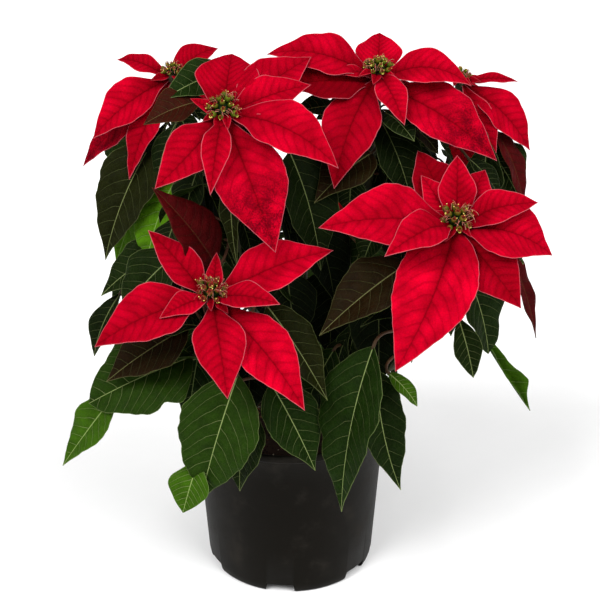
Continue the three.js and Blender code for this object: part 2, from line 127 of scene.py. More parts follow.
# Blade plans: (share of the length, share of the half width), base to tip.
BRACT_PLAN = ((0, 0.07), (0.17, 0.42), (0.36, 0.95), (0.58, 0.94), (0.83, 0.4), (1, 0))
BROAD_PLAN = ((0, 0.12), (0.1, 0.6), (0.3, 0.98), (0.56, 0.94), (0.82, 0.42), (1, 0))
TINY_PLAN = ((0, 0.05), (0.42, 1), (0.78, 0.58), (1, 0))
SMALL_PLAN = ((0, 0.05), (0.25, 0.7), (0.5, 1), (0.8, 0.5), (1, 0))
LEAF_PLAN = ((0, 0.04), (0.08, 0.5), (0.25, 0.95), (0.42, 1), (0.65, 0.7), (0.86, 0.24), (1, 0))
SHORT_PLAN = ((0, 0.04), (0.1, 0.6), (0.32, 1), (0.58, 0.82), (0.84, 0.28), (1, 0))
LOBED_PLAN = (
    (0, 0.1), (0.1, 0.6), (0.24, 1), (0.36, 0.84), (0.5, 0.98), (0.68, 0.7), (0.88, 0.4), (1, 0),
)
FOLDED_PLAN = ((0, 0.05), (0.15, 0.22), (0.4, 0.5), (0.6, 0.62), (0.76, 1), (0.88, 0.4), (1, 0))
# Plans by the length up to which they serve.
LEAF_PLANS = ((47, SMALL_PLAN), (84, SHORT_PLAN), (math.inf, LEAF_PLAN))
BRACT_PLANS = ((31, TINY_PLAN), (50, SMALL_PLAN), (90, BRACT_PLAN), (math.inf, BROAD_PLAN))

# Blade styles: thickness, step of the grid, height and pitch of the ruffle, quilting, groove over
# the midrib, rib under it, puckers, unevenness of the margin as a share, lateral veins on a side,
# fold of each half and slow swing of the margin.
Style = namedtuple(
    "Style", "thick step ruffle ruffle_pitch quilt groove rib pucker margin veins fold swing",
)
LEAF_STYLE = Style(0.55, 1.7, 0.9, 23, 0.6, 0.35, 0.75, 0.45, 0.020, 8.5, 14, 1.2)
BRACT_STYLE = Style(0.45, 1.6, 0.8, 19, 0.34, 0.3, 0.45, 0.45, 0.014, 10.5, 12, 0.6)
BRACTLET_STYLE = Style(0.35, 0.9, 0.3, 7, 0.05, 0.08, 0.2, 0.1, 0.02, 9, 22, 0.3)

# Shoots: centre of the bloom, height at which the branch leaves the trunk, turn of the cyathia,
# their ripeness (0 fresh green, 1 brown red), how far they lean to the front and their scale.
Shoot = namedtuple("Shoot", "x y z start turn ripe lean scale")
SHOOTS = {
    "A": Shoot(-75, 50, 331, 134, 10, 0.3, 12, 0.66),
    "B": Shoot(-40, -35, 339, 146, 200, 0.15, 30, 0.95),
    "C": Shoot(55, 10, 347, 144, 80, 0.1, 12, 0.84),
    "D": Shoot(110, 50, 327, 130, 150, 0.2, 8, 0.66),
    "E": Shoot(101, -60, 277, 122, 30, 0.5, 30, 0.98),
    "F": Shoot(-47, -85, 241, 124, 260, 0.9, 28, 0.9),
    "H": Shoot(10, 68, 234, 126, 310, 0.2, -10, 0.8),
}

# Shares of bright green, bronze and maroon in each tone. Bright green past 0.5 (l, b) is partly a
# leaf's own pale green and partly a painted glow of light through the leaf from behind. Below 0
# the first one darkens the leaf instead (w, q, z): painted shade on leaves that sit in shadow.
TONES = {
    "d": (0.1, 0.12, 0), "e": (0.14, 0, 0), "g": (0.38, 0, 0), "l": (0.68, 0, 0), "b": (1, 0, 0),
    "k": (0.1, 0.5, 0), "s": (0.08, 0.05, 0), "n": (0, 1, 0), "m": (0, 0.3, 1),
    "w": (-0.3, 0.3, 0.6), "q": (-0.5, 0.12, 0), "z": (-1, 0.12, 0),
}


def table(row, text):
    """Rows by shoot. A line of one letter opens the rows of that shoot, and the columns that a row
    leaves out at its end are 0."""
    rows = {name: [] for name in SHOOTS}
    for line in text.strip().splitlines():
        cells = [cell if cell.isalpha() else float(cell) for cell in line.split()]
        if len(cells) == 1:
            name = cells[0]
        else:
            rows[name].append(row(*cells))
    return rows


# Drop is how far a bract's foot stands under the bloom. Shade goes from 0, fresh red, to 9, deep
# maroon: partly the bract's own colour and partly painted shade on bracts that sit in shadow.
# Layer raises a bract over its neighbours, in millimetres. Speckle says how far dark speckles
# cover its tip, up to 9.
Bract = namedtuple(
    "Bract", "azimuth pitch length width drop arch shade layer speckle roll sweep", defaults=(0,) * 5,
)
BRACTS = table(Bract, """
A
-163 -34 62 32 4 .12 2
178 -43 80 30 11 .08 4 0 9
-127 -51 69 24 5 .08 3 0 0 20
150 8 41 14 2 .15 4
22 36 36 25 2 .26 4 0 0 -8
-42 30 17 8 1 .1 2
75 -35 55 26 8 .1 4
120 -38 60 28 9 .1 4
30 -45 52 24 10 .1 4
B
-141 -34 60 32 4 .08 3 0 0 0 .06
-99 -42 55 18 2 .08 3 3
-59 -48 88 45 5 .06 1 0 8
-21 -19 76 36 3 .1 2 1 0 0 .06
17 14 55 27 2 .08 2
180 38 22 10 1 .1 2
84 34 24 10 1 .1 4
36 20 68 32 4 .05 3 0 1 6
84 28 48 40 5 .1 4 3
48 -30 50 24 9 .1 4
85 -34 50 24 10 .1 4
C
168 9 69 30 2 .19 3
-170 2 30 9 1 .1 4 2
-120 -46 76 36 5 .08 4 2 1 0 -.04
-69 -25 44 20 2 .12 2
86 38 34 30 1 .1 2
-5 -2 56 27 3 .3 2
-23 -26 86 40 10 .12 1 0 8
70 -32 55 25 8 .1 4
115 -34 56 26 9 .1 4
-168 2 60 34 8 .08 8
D
-51 -53 55 20 3 .08 3
-8 -46 62 30 4 .1 2 3 1
8 -2 36 9 1 .12 4
-85 -72 56 22 11 .08 5
50 -38 55 25 8 .1 4
95 -36 55 26 9 .1 4
140 -42 50 24 10 .1 4
E
-170 4 83 43 4 .13 2 0 0 -3
-142 -9 57 27 1 .1 2 6
-124 -46 95 50 5 .08 0 0 2 6 .06
-45 -34 61 35 7 .08 5 0 0 9
-10 -13 58 43 6 .21 2 0 0 -2
3 14 49 25 1 .12 3 5
133 44 39 20 2 .1 2
87 50 46 24 1 .06 3 4
58 37 43 26 3 .1 4
115 33 58 30 5 .08 7
75 -30 56 26 9 .1 8
F
-163 -17 74 38 4 .14 3 0 2
-143 -5 36 17 1 .1 2
-78 -43 63 32 5 .08 3 3
-40 -35 86 36 6 .06 1 0 0 0 .03
-27 6 45 21 1 .1 3 2
12 19 77 34 3 .12 2
146 38 57 23 3 .08 4
83 52 31 11 1 .06 3
85 -22 36 22 9 .1 5
H
85 -18 62 36 6 .08 2
40 -24 60 32 6 .08 2 4
130 -22 62 34 6 .08 3 4
170 -20 52 26 6 .08 3
0 -24 50 26 6 .08 2
82 6 38 18 3 .1 3
""")

# Leaves: x, y and z are of the foot of the blade. Share says how far up the branch the petiole
# leaves it, and is 0 where there is none. Tone is a letter of TONES.
LOBED, FOLDED = 1, 3
Leaf = namedtuple(
    "Leaf", "x y z azimuth pitch length width arch share tone roll kind sweep", defaults=(0, 0, 0),
)
LEAVES = table(Leaf, """
A
-87 30 293 -148 -63 85 43 .09 .88 k -25
-80 38 275 -149 -59 76 40 .1 .78 b -25
-110 0 198 -150 -63 46 20 .1 .5 q -20
-78 2 229 -170 -34 54 30 .1 .62 d -35
-66 24 289 -120 -67 44 30 .08 .85 b
-73 14 272 -141 -66 64 37 .08 .72 b -14
-70 27 322 -25 12 42 18 .14 .95 g 10
-50 14 158 178 -62 50 34 .08 .28 g
-88 76 292 130 -55 80 46 .1 .85 g
-62 74 254 105 -58 84 48 .1 .7 g
-84 46 222 165 -62 76 44 .1 .55 g
B
0 -17 304 -55 -64 76 42 .08 .88 q
-46 -52 244 -163 56 68 34 .06 .7 m -55
-54 -18 300 -126 -65 46 24 .08 .9 q
-36 -38 300 -70 -79 62 14 .05 .9 k 50
-71 -32 241 -172 -50 56 37 .1 .65 d -35
-51 -14 337 -165 -17 41 27 .08 .95 w -24
9 5 262 -52 -63 70 44 .08 .8 z
-23 0 243 -72 -66 60 42 .08 .7 z
-54 -22 240 -123 -63 50 38 .08 .62 q
C
58 6 314 -48 -60 56 34 .08 .93 q 10
51 -10 300 -143 -26 50 34 .08 .85 n -20
29 0 216 -96 -55 60 44 .08 .6 z
36 14 322 -160 -2 40 16 .08 .96 d -20
68 4 318 -14 -40 34 22 .1 .95 n 20
62 42 292 75 -52 76 44 .1 .85 g
60 10 276 -64 -65 66 44 .08 .75 z
D
134 40 294 -29 -67 54 20 .08 .94 m 10
127 50 284 -35 -50 42 38 .08 .88 d 35
138 4 234 -6 -71 75 14 .05 .75 m 40
122 72 276 45 -60 74 44 .1 .88 g
100 74 246 78 -60 84 48 .1 .7 g
112 48 222 8 -68 66 34 .1 .62 d 10
50 14 158 2 -62 50 34 .08 .24 g
98 20 226 -70 -69 64 40 .08 .6 q 10
E
51 -84 203 -127 -73 108 50 .06 .6 e 10
54 -59 173 -46 -73 82 31 .06 .48 s 25 0 -.06
61 -68 176 -28 -42 28 14 .1 .55 l 20
72 -68 252 -156 -32 70 38 .06 .93 n -25
111 -28 228 -34 -71 58 37 .06 .8 s 10 1
106 -46 203 -46 -69 40 20 .08 .65 d 30
112 -31 204 -8 -59 86 22 -.03 .7 l 37 3
118 -44 254 42 -34 50 24 .1 .93 d 20
28 -45 180 -137 -57 58 40 .06 .3 e
56 -28 222 -90 -62 70 40 .06 .65 z
F
-32 -92 188 -165 -74 90 51 .1 .7 g -60
-61 -74 191 -171 -23 70 54 .08 .78 g -48 1
-108 -84 170 176 -56 64 26 .02 0 l -50
-57 -98 130 -130 -63 34 28 .05 0 l -20
-52 -48 206 -120 -70 74 38 .06 .6 e -10
-27 -78 162 -120 -81 62 38 .05 .42 d
-12 -76 173 -33 -58 62 38 .06 .6 e 30
-62 -80 215 -168 -32 61 37 .06 .92 n -35
-14 -66 222 -41 -45 69 30 .06 .88 k 20
-26 -35 185 -90 -59 52 44 .06 .3 z
-2 -32 228 -78 -60 48 34 .06 .66 z
H
38 82 200 50 -60 76 46 .1 .8 g
-18 84 202 130 -60 76 46 .1 .8 g
10 88 186 88 -66 84 48 .1 .7 g
54 60 176 22 -64 78 46 .1 .6 g
-44 62 176 158 -64 78 46 .1 .6 g
14 72 146 75 -58 70 40 .1 .4 g
""")

# Single inner leaves that show in the gaps between the large ones. Most have tone q: painted
# shade that darkens them.
INNER_LEAVES = table(Leaf, """
A
-78 28 306 -144 -72 42 20 .08 .93 q
-71 16 311 -147 -70 43 20 .08 .9 q
-73 30 325 -22 -43 24 18 .08 .95 q
B
-33 10 350 -150 -13 52 27 .06 .93 e -30
-36 0 262 -44 -65 38 24 .08 .8 q
-7 10 266 -36 -68 38 20 .08 .82 q
-55 -6 280 -34 -67 44 26 .08 .82 q
-12 2 268 -30 -69 42 26 .08 .82 q
-34 2 320 -28 -64 38 22 .08 .9 q
-61 -4 286 -36 -72 43 22 .08 .8 q
-70 -28 265 -133 -65 28 22 .06 .7 q
C
40 24 277 -45 -71 36 22 .08 .8 q
51 18 297 -33 -63 36 18 .08 .86 q
63 16 292 -142 -70 39 22 .08 .85 q
39 -6 287 -100 -76 28 22 .06 .8 q
D
126 16 298 -104 -73 50 27 .08 .85 q
92 12 306 -16 -67 30 14 .08 .85 q
112 -4 294 -28 -47 34 20 .08 .85 q
E
38 6 244 -10 -30 36 17 .08 .7 q
39 -38 193 -141 -71 40 18 .08 .5 q
62 -8 258 -156 -58 46 26 .08 .75 q
58 -30 263 -144 -60 30 26 .06 .85 q
44 -38 199 -133 -73 38 20 .06 .5 q
F
-54 -26 262 -31 -52 38 28 .08 .9 q
-65 -58 229 -17 -53 34 22 .08 .92 q
-58 -60 231 -63 -73 33 22 .08 .92 q
""")

# Fans of small inner leaves: share up the branch, first and last azimuth, number of leaves,
# distance out, pitch, length and width.
Fan = namedtuple("Fan", "share first last count out pitch length width")
INNER_FANS = table(Fan, """
A
.96 -70 110 4 8 -22 30 18
.76 -10 200 4 12 -42 44 30
B
.96 -40 230 6 8 -20 34 22
.82 -40 160 5 12 -40 46 30
.55 0 180 4 14 -55 46 32
C
.96 -20 300 6 8 -20 34 22
.82 0 200 5 12 -40 46 30
.55 0 180 4 14 -55 46 32
D
.96 90 270 4 8 -24 32 20
.78 60 200 3 12 -42 44 30
E
.97 60 200 4 6 -10 28 18
.8 90 190 3 12 -35 44 30
F
.96 0 160 5 8 -20 32 20
.78 10 170 4 12 -40 44 30
H
.95 0 300 6 8 -24 33 22
.78 0 300 5 12 -42 46 32
""")



# ---- shared geometry ----
def smooth(x, low, high):
    """0 below low, 1 above high, and 3u^2 - 2u^3 between them."""
    u = np.clip((x - low) / (high - low), 0, 1)
    return u * u * (3 - 2 * u)


def bell(x, width):
    """1 at zero, falling away on both sides as e^-(x / width)^2."""
    return np.exp(-((x / width) ** 2))


def unit(vectors):
    """Each vector over its own length."""
    return vectors / np.linalg.norm(vectors, axis=-1, keepdims=True)


def circle(count):
    """Even angles once round."""
    return np.linspace(0, 2 * math.pi, count, endpoint=False)


def around(r, a, z):
    """Points at radius r, angle a and height z."""
    return np.stack(np.broadcast_arrays(r * np.cos(a), r * np.sin(a), z), -1)


def bezier(points, t):
    """Point at t on the curve of any degree with these control points, by repeated blending."""
    while len(points) > 1:
        points = [a * (1 - t) + b * t for a, b in zip(points, points[1:])]
    return points[0]


def through(points, x):
    """Smooth curve through given points. The slope at a point is the chord between its two
    neighbours, an end's slope carries the last chord on, and cubic curves join them."""
    px, py = np.array(points, float).T
    step, chord = np.diff(px), np.diff(py) / np.diff(px)
    slope = np.empty_like(py)
    slope[1:-1] = (py[2:] - py[:-2]) / (px[2:] - px[:-2])
    slope[0], slope[-1] = 1.5 * chord[0] - 0.5 * slope[1], 1.5 * chord[-1] - 0.5 * slope[-2]
    k = np.clip(np.searchsorted(px, x, "right") - 1, 0, len(step) - 1)
    third = step[k] / 3
    inner = py[k] + third * slope[k], py[k + 1] - third * slope[k + 1]
    return bezier((py[k], *inner, py[k + 1]), (x - px[k]) / step[k])


def ripples(x, y, waves, longest, shortest, seed):
    """Sum of plane waves with seeded directions, phases and wavelengths between the two given,
    each as high as its wavelength's share of the longest: an even, bumpy field of about +-1."""
    rng = np.random.default_rng(seed)
    total = 0
    for length in np.geomspace(longest, shortest, waves):
        turn, phase = rng.uniform(0, 2 * math.pi, 2)
        along = x * math.cos(turn) + y * math.sin(turn)
        total = total + (length / longest) ** 0.7 * np.sin(2 * math.pi * along / length + phase)
    return total / math.sqrt(waves)


def grid_quads(index):
    """Quads between the rows and columns of a grid of point numbers."""
    here, after = index[:, :-1], index[:, 1:]
    return np.stack([here[:-1], after[:-1], after[1:], here[1:]], axis=-1).reshape(-1, 4)


def cap_quads(ring):
    """Closes an even ring of point numbers with a strip of quads across it."""
    half = len(ring) // 2
    return grid_quads(np.stack([ring[:half], ring[half:][::-1]]))


def outward(points, quads):
    """The quads, turned over if the closed surface they make has a negative volume: the sum of
    each quad's mean corner dotted with its area vector."""
    p = points[quads]
    area = np.cross(p[:, 2] - p[:, 0], p[:, 3] - p[:, 1])
    return quads if np.sum(p.mean(axis=1) * area) > 0 else quads[:, ::-1]


Part = namedtuple("Part", "points quads material marks")


def rings(points, material=0, marks=None):
    """A closed skin over an array of rings of points: rows x sides x 3."""
    rows, sides = points.shape[:2]
    index = np.arange(rows * sides).reshape(rows, sides)
    skin = grid_quads(np.column_stack([index, index[:, 0]]))
    quads = np.concatenate([skin, cap_quads(index[0])[:, ::-1], cap_quads(index[-1])])
    flat = points.reshape(-1, 3)
    return Part(flat, outward(flat, quads), material, marks or {})


def tube(path, radius, sides, material, marks=None):
    """Ring of points round each point of a path: path + radius * (side cos a + up sin a), where
    side is square to the path and to the axis that it follows least, and up is square to both."""
    tangent = unit(np.gradient(path, axis=0))
    steady = np.eye(3)[np.argmin(np.abs(tangent.mean(axis=0)))]
    side = unit(np.cross(tangent, steady))
    up = np.cross(side, tangent)
    a = circle(sides)[None, :, None]
    r = np.broadcast_to(radius, len(path))[:, None, None]
    spread = side[:, None] * np.cos(a) + up[:, None] * np.sin(a)
    return rings(path[:, None] + r * spread, material, marks)


def revolve(profile, sides, material=0, marks=None):
    """Profile of (radius, height) carried round Z."""
    r, z = np.array(profile, float).T[:, :, None]
    return rings(around(r, circle(sides), z), material, marks)


def moved(part, shift, matrix=np.eye(3)):
    """A part turned by a 3 x 3 matrix and then shifted."""
    return part._replace(points=part.points @ matrix.T + shift)


def turn_about(axis, degrees):
    """Rotation matrix about the X, Y or Z axis."""
    c, s = math.cos(math.radians(degrees)), math.sin(math.radians(degrees))
    i, j = [(1, 2), (2, 0), (0, 1)]["XYZ".index(axis)]
    matrix = np.eye(3)
    matrix[i, i], matrix[i, j], matrix[j, i], matrix[j, j] = c, -s, s, c
    return matrix


def write_piece(name, parts, materials, node):
    """One smooth mesh of all the parts, which rides on the plant and stands for a CAD node."""
    offsets = np.cumsum([0] + [len(part.points) for part in parts[:-1]])
    points = np.concatenate([part.points for part in parts]) * MM
    quads = np.concatenate([part.quads + start for part, start in zip(parts, offsets)])
    slots = np.concatenate([np.full(len(part.quads), part.material) for part in parts])
    mesh = bpy.data.meshes.new(name)
    mesh.from_pydata(points.tolist(), [], quads.tolist(), shade_flat=False)
    mesh.polygons.foreach_set("material_index", slots.astype(np.int32))
    for mark in sorted({mark for part in parts for mark in part.marks}):
        values = [np.broadcast_to(part.marks.get(mark, 0), part.points.shape) for part in parts]
        layer = mesh.attributes.new(mark, "FLOAT_VECTOR", "POINT")
        layer.data.foreach_set("vector", np.concatenate(values).astype(np.float32).ravel())
    for material in materials:
        mesh.materials.append(material)
    piece = bpy.data.objects.new(name, mesh)
    bpy.context.scene.collection.objects.link(piece)
    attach(piece, "root")
    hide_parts(node)


# ---- blades ----
def chord_frame(azimuth, pitch, roll):
    """Chord, side and face of a blade: the chord points at azimuth and pitch, the side is level
    and square to it before it rolls about the chord, and the face is chord x side."""
    a, p, r = np.radians([azimuth, pitch, roll])
    chord = around(math.cos(p), a, math.sin(p))
    level = around(1, a + math.pi / 2, 0)
    side = level * math.cos(r) + np.cross(chord, level) * math.sin(r)
    return chord, side, np.cross(chord, side)


def blade(row, root, plan, style, tint, seed, layer=0):
    """Closed blade on a grid of t, base to tip, and v, from margin to margin. The midrib is
    root + chord L t + (face arch + side sweep) 4 L t (1 - t), and past its foot it is raised by
    its layer, which keeps it clear of its neighbours. A point stands v half cos(fold) to the side
    of it and |v| half sin(fold) above it, where half is the plan's smooth curve. To that height
    come the margin's slow swing, its ruffle |v|^2.5 sin(s), the quilting between the lateral veins
    and low puckers. The top and the underside stand half a thickness apart from that surface, and
    a rib runs under the midrib."""
    chord, side, face = chord_frame(row.azimuth, row.pitch, row.roll)
    rows = max(12, round(row.length / style.step)) + 1
    columns = 2 * max(4, round(row.width / style.step / 2)) + 1
    t = np.linspace(0, 1, rows)[:, None]
    v = np.concatenate([[-1], np.linspace(-INSIDE_MARGIN, INSIDE_MARGIN, columns - 2), [1]])[None, :]
    along = row.length * t
    bow = (4 * along * (1 - t))[..., None]
    centre = root + chord * along[..., None] + (face * row.arch + side * row.sweep) * bow
    centre = centre + face * (layer * smooth(t, 0.05, 0.45))[..., None]
    tangent = unit(chord + face * (4 * row.arch * (1 - 2 * t))[..., None])
    normal = unit(np.cross(tangent, side))

    phases = np.random.default_rng(seed).uniform(0, 2 * math.pi, 6)

    def wave(length, i, flank):
        return np.sin(2 * math.pi * along / length + phases[i] + flank * phases[i + 1])

    share = through(plan, t)
    ends = smooth(t, 0.0, 0.2) * (1 - smooth(t, 0.86, 1.0))
    uneven = wave(MARGIN_WAVES[0], 0, np.sign(v)) + 0.6 * wave(MARGIN_WAVES[1], 2, np.sign(v))
    half = row.width / 2 * share * (1 + style.margin * ends * uneven)
    half = np.maximum(half, 1.1 - smooth(t, 0.0, 0.06))
    across = v * half
    off = np.abs(across)

    spacing = np.clip(row.length / style.veins, *VEIN_SPACING)
    vein = (along - VEIN_LEAN * off - VEIN_CURVE * off**2) / spacing + 0.5 * (v > 0)
    beside = np.abs(vein - np.round(vein)) * spacing
    quilt = style.quilt * (1 - bell(beside, 0.2 * spacing)) * smooth(off, 0.4, 3.0)
    quilt = quilt * (1 - smooth(np.abs(v), 0.8, 1.0)) * ends
    station = np.interp(t, [p[0] for p in plan], range(len(plan)))
    swing = v * style.swing * share * np.sin(2.3 * station)
    ruffle = style.ruffle * np.abs(v) ** 2.5 * share * ends * wave(style.ruffle_pitch, 4, v > 0)
    pucker = style.pucker * ends * ripples(along, across, 5, *PUCKER_WAVES, seed + 1)
    pucker = pucker * smooth(off, 0, 4)
    dip = style.groove * bell(off, 0.9) * (1 - t)
    fold = math.radians(style.fold)
    lift = off * math.sin(fold) * (1.22 - 0.22 * v**2) + swing + ruffle + quilt + pucker - dip
    sheet = centre + side * (across * math.cos(fold))[..., None] + normal * lift[..., None]
    thick = style.thick / 2 * (1 - 0.65 * smooth(np.abs(v), 0.9, 1.0)) * np.ones_like(t)
    rib = style.rib * bell(off, 0.6 + 0.5 * (1 - t)) * (1 - 0.85 * t)
    top = sheet + normal * thick[..., None]
    under = sheet - normal * (thick + rib)[..., None]
    points = np.concatenate([top.reshape(-1, 3), under.reshape(-1, 3)])

    index = np.arange(rows * columns).reshape(rows, columns)
    border = np.concatenate([index[0, :-1], index[:-1, -1], index[-1, :0:-1], index[:0:-1, 0]])
    after = np.roll(border, -1)
    hem = np.stack([border, border + index.size, after + index.size, after], axis=-1)
    quads = grid_quads(index)
    quads = np.concatenate([quads, quads[:, ::-1] + index.size, hem])

    def whole(*fields):
        return np.stack(np.broadcast_arrays(*fields, off)[:3], -1).reshape(-1, 3)

    marks = {
        "rib": np.tile(whole(along, across, half - off), (2, 1)),
        "vein": np.concatenate([whole(spacing, 0, t), whole(spacing, 1, t)]),
        "tint": tint,
    }
    return Part(points, outward(points, quads), 0, marks)


def branch_points(name):
    """Control points of a shoot's branch, from inside the trunk to just under the bloom."""
    shoot = SHOOTS[name]
    end = np.array([shoot.x, shoot.y, shoot.z - HUB_HEIGHT - GAP])
    low = np.array([0.6 * shoot.x, 0.6 * shoot.y, shoot.start + 18])
    return np.array([0, 0, shoot.start]), low, end - (0, 0, 55), end


def plan_for(row, plans):
    """Plan for a blade of this length."""
    return next(plan for longest, plan in plans if row.length <= longest)


def leaf(name, row, plan, style, seed, thick):
    """Blade and petiole of one leaf. The petiole is a quadratic curve from the branch to the
    blade's foot, which it meets along the chord, and it is a little thicker at both ends."""
    base = np.array([row.x, row.y, row.z])
    blades = [blade(row, base, plan, style, TONES[row.tone], seed)]
    if not row.share:
        return blades
    start = bezier(branch_points(name), row.share)
    chord = chord_frame(row.azimuth, row.pitch, 0)[0]
    bend = base - chord * 0.35 * np.linalg.norm(start - base)
    u = np.linspace(0, 1, STALK_STEPS)
    radius = thick * (1 + 0.45 * np.exp(-u / 0.07) + 0.25 * np.exp(-(1 - u) / 0.08))
    mark = np.stack(np.broadcast_arrays(u, 0, 1), -1).repeat(STALK_SIDES, axis=0)
    path = bezier((start, bend, base + chord * 1.5), u[:, None])
    return blades + [tube(path, radius, STALK_SIDES, 1, {"stem": mark})]


def leaves_of(name, style, stalk_radius):
    """Blades and petioles of one shoot. After the large leaves come small ones that close the
    shoot up between them: single ones, then fans on the branch, each leaf of a fan at an even
    turn from the last, its foot a little way out."""
    seed = 100 * ord(name)
    parts = []
    for i, row in enumerate(LEAVES[name]):
        look = style._replace(fold=SHUT_FOLD) if row.kind == FOLDED else style
        plan = {LOBED: LOBED_PLAN, FOLDED: FOLDED_PLAN}.get(row.kind) or plan_for(row, LEAF_PLANS)
        parts += leaf(name, row, plan, look, seed + i, stalk_radius)
    seed += INNER_SEED
    inner = []
    for row in INNER_LEAVES[name]:
        inner += leaf(name, row, SMALL_PLAN, style, seed + len(inner), stalk_radius * 0.8)
    rng = np.random.default_rng(13 * ord(name))
    for fan in INNER_FANS[name]:
        count = int(fan.count)
        for azimuth in np.linspace(fan.first, fan.last, count) + rng.uniform(-9, 9, count):
            foot = bezier(branch_points(name), fan.share) + fan.out * around(1, math.radians(azimuth), 0.3)
            # Fan leaves all take tone q: painted shade that darkens them.
            row = Leaf(
                *foot, azimuth, fan.pitch + rng.uniform(-8, 8), fan.length * rng.uniform(0.85, 1.1),
                fan.width, 0.1, fan.share, "q", rng.uniform(-25, 25),
            )
            inner += leaf(name, row, SMALL_PLAN, style, seed + len(inner), stalk_radius * 0.7)
    return parts + inner


def branch_of(name):
    """Branch: a tapering rod with a low ring at each petiole and fine ribs along it."""
    steps, sides = 70, 16
    u = np.linspace(0.02, 1, steps)
    path = bezier(branch_points(name), u[:, None])
    travelled = np.concatenate([[0], np.cumsum(np.linalg.norm(np.diff(path, axis=0), axis=1))])
    radius = BRANCH_RADIUS * (1.12 - 0.22 * u)
    for row in LEAVES[name]:
        if row.share:
            radius = radius + 0.45 * bell(travelled - np.interp(row.share, u, travelled), 2.6)
    mark = np.stack(np.broadcast_arrays(u, 0, 0), -1).repeat(sides, axis=0)
    part = tube(path, radius, sides, 0, {"stem": mark})
    spread = part.points.reshape(steps, sides, 3) - path[:, None]
    a = circle(sides)
    ribs = 1 + 0.03 * np.sin(5 * a + 1.0) + 0.02 * ripples(travelled[:, None], a * 3, 5, 14, 4, ord(name))
    return [part._replace(points=(path[:, None] + spread * ribs[..., None]).reshape(-1, 3))]


def crown_of(name, style):
    """Bracts, bractlets and the hub that carries them."""
    shoot = SHOOTS[name]
    bloom = np.array([shoot.x, shoot.y, shoot.z])
    rng = np.random.default_rng(7 * ord(name))
    seed = 100 * ord(name)
    parts = []
    for i, row in enumerate(BRACTS[name]):
        a = math.radians(row.azimuth)
        climb = 2 * BRACT_ROOT * (math.tan(math.radians(row.pitch)) + 4 * row.arch)
        root = bloom + around(BRACT_ROOT, a, -max(row.drop, HUB_RISE + climb))
        tint = (row.shade / 9, row.speckle / 9, rng.uniform())
        row = row._replace(roll=FACING_ROLL * math.cos(a) + row.roll)
        plan = plan_for(row, BRACT_PLANS)
        parts.append(blade(row, root, plan, style, tint, seed + BRACT_SEED + i, row.layer))
    for k in range(BRACTLET_COUNT):
        azimuth = shoot.turn + 360 / BRACTLET_COUNT * k + rng.uniform(-14, 14)
        a = math.radians(azimuth)
        length = rng.uniform(9, 16)
        row = Bract(
            azimuth, rng.uniform(-8, 16) + shoot.lean * math.sin(a), length,
            width=length * rng.uniform(0.36, 0.5), arch=rng.uniform(0.04, 0.2), drop=BRACTLET_SINK,
            roll=rng.uniform(-20, 20) + FACING_ROLL * math.cos(a),
        )
        tint = (rng.uniform(0.3, 0.7), 0, rng.uniform())
        root = bloom + around(BRACTLET_ROOT, a, -row.drop)
        parts.append(blade(row, root, TINY_PLAN, BRACTLET_STYLE, tint, seed + BRACTLET_SEED + k))
    top = HUB_HEIGHT + HUB_RISE
    hub = revolve([
        (BRANCH_RADIUS * 0.9, -1), (BRANCH_RADIUS * 0.95, 4), (HUB_RADIUS * 0.9, top * 0.6),
        (HUB_RADIUS, top - 4), (HUB_RADIUS, top - 0.4), (HUB_RADIUS - 0.5, top),
    ], 20, 1, {"stem": (1.0, 0.0, 0.5)})
    return parts + [moved(hub, bloom - (0, 0, HUB_HEIGHT))]


# ---- flowers ----
def curl(start, out, rise, hook, turn, count):
    """Points of a thread that rises from its start, leans outwards and rolls back on itself: the
    heading swings through turn radians while the step stays the same."""
    heading = turn * np.linspace(0, 1, count) ** 1.4
    step = hook * 2.6 / count
    across = np.cumsum(np.sin(heading) * step)
    up = np.cumsum(np.cos(heading) * step) * rise
    return start + np.outer(across, out) + np.outer(up, (0, 0, 1))


def cyathium(rng, ripe):
    """One cup with an open mouth, sometimes a lipped gland at its side, stamens, and pollen on
    some of them, standing on z = 0."""
    cup = revolve([
        (0.7, -1.2), (0.8, 0.0), (1.5, 0.5), (2.0, 1.5), (2.15, 2.8), (1.95, 3.9), (1.6, 4.6),
        (1.3, CUP_HEIGHT), (1.05, 4.5), (0.9, 3.9), (0.4, 3.5),
    ], CUP_SIDES)
    height = np.clip(cup.points[:, 2] / CUP_HEIGHT, 0, 1)
    inside = np.arange(len(height)) >= 8 * CUP_SIDES
    parts = [cup._replace(marks={"cup": np.stack(np.broadcast_arrays(height, inside, ripe), -1)})]
    if rng.uniform() < 0.55:
        a = np.linspace(0, 2 * math.pi, 10)
        lip = np.stack([1.95 + 0.4 * np.cos(a), 0.75 * np.sin(a), 4.1 + 0.35 * np.cos(a)], -1)
        parts.append(tube(lip, 0.36, 6, 1))
    for _ in range(STAMEN_COUNT):
        out = around(1, rng.uniform(0, 2 * math.pi), 0)
        path = curl(out * 0.5 + (0, 0, 3.6), out, rng.uniform(0.8, 1.3), rng.uniform(0.7, 1.3), 1.8, 7)
        parts.append(tube(path, 0.17, 6, 2))
        if rng.uniform() < 0.3:
            tip = revolve([(0.1, -0.4), (0.42, -0.12), (0.42, 0.16), (0.12, 0.4)], 6, 3)
            parts.append(moved(tip, path[-1]))
    return parts


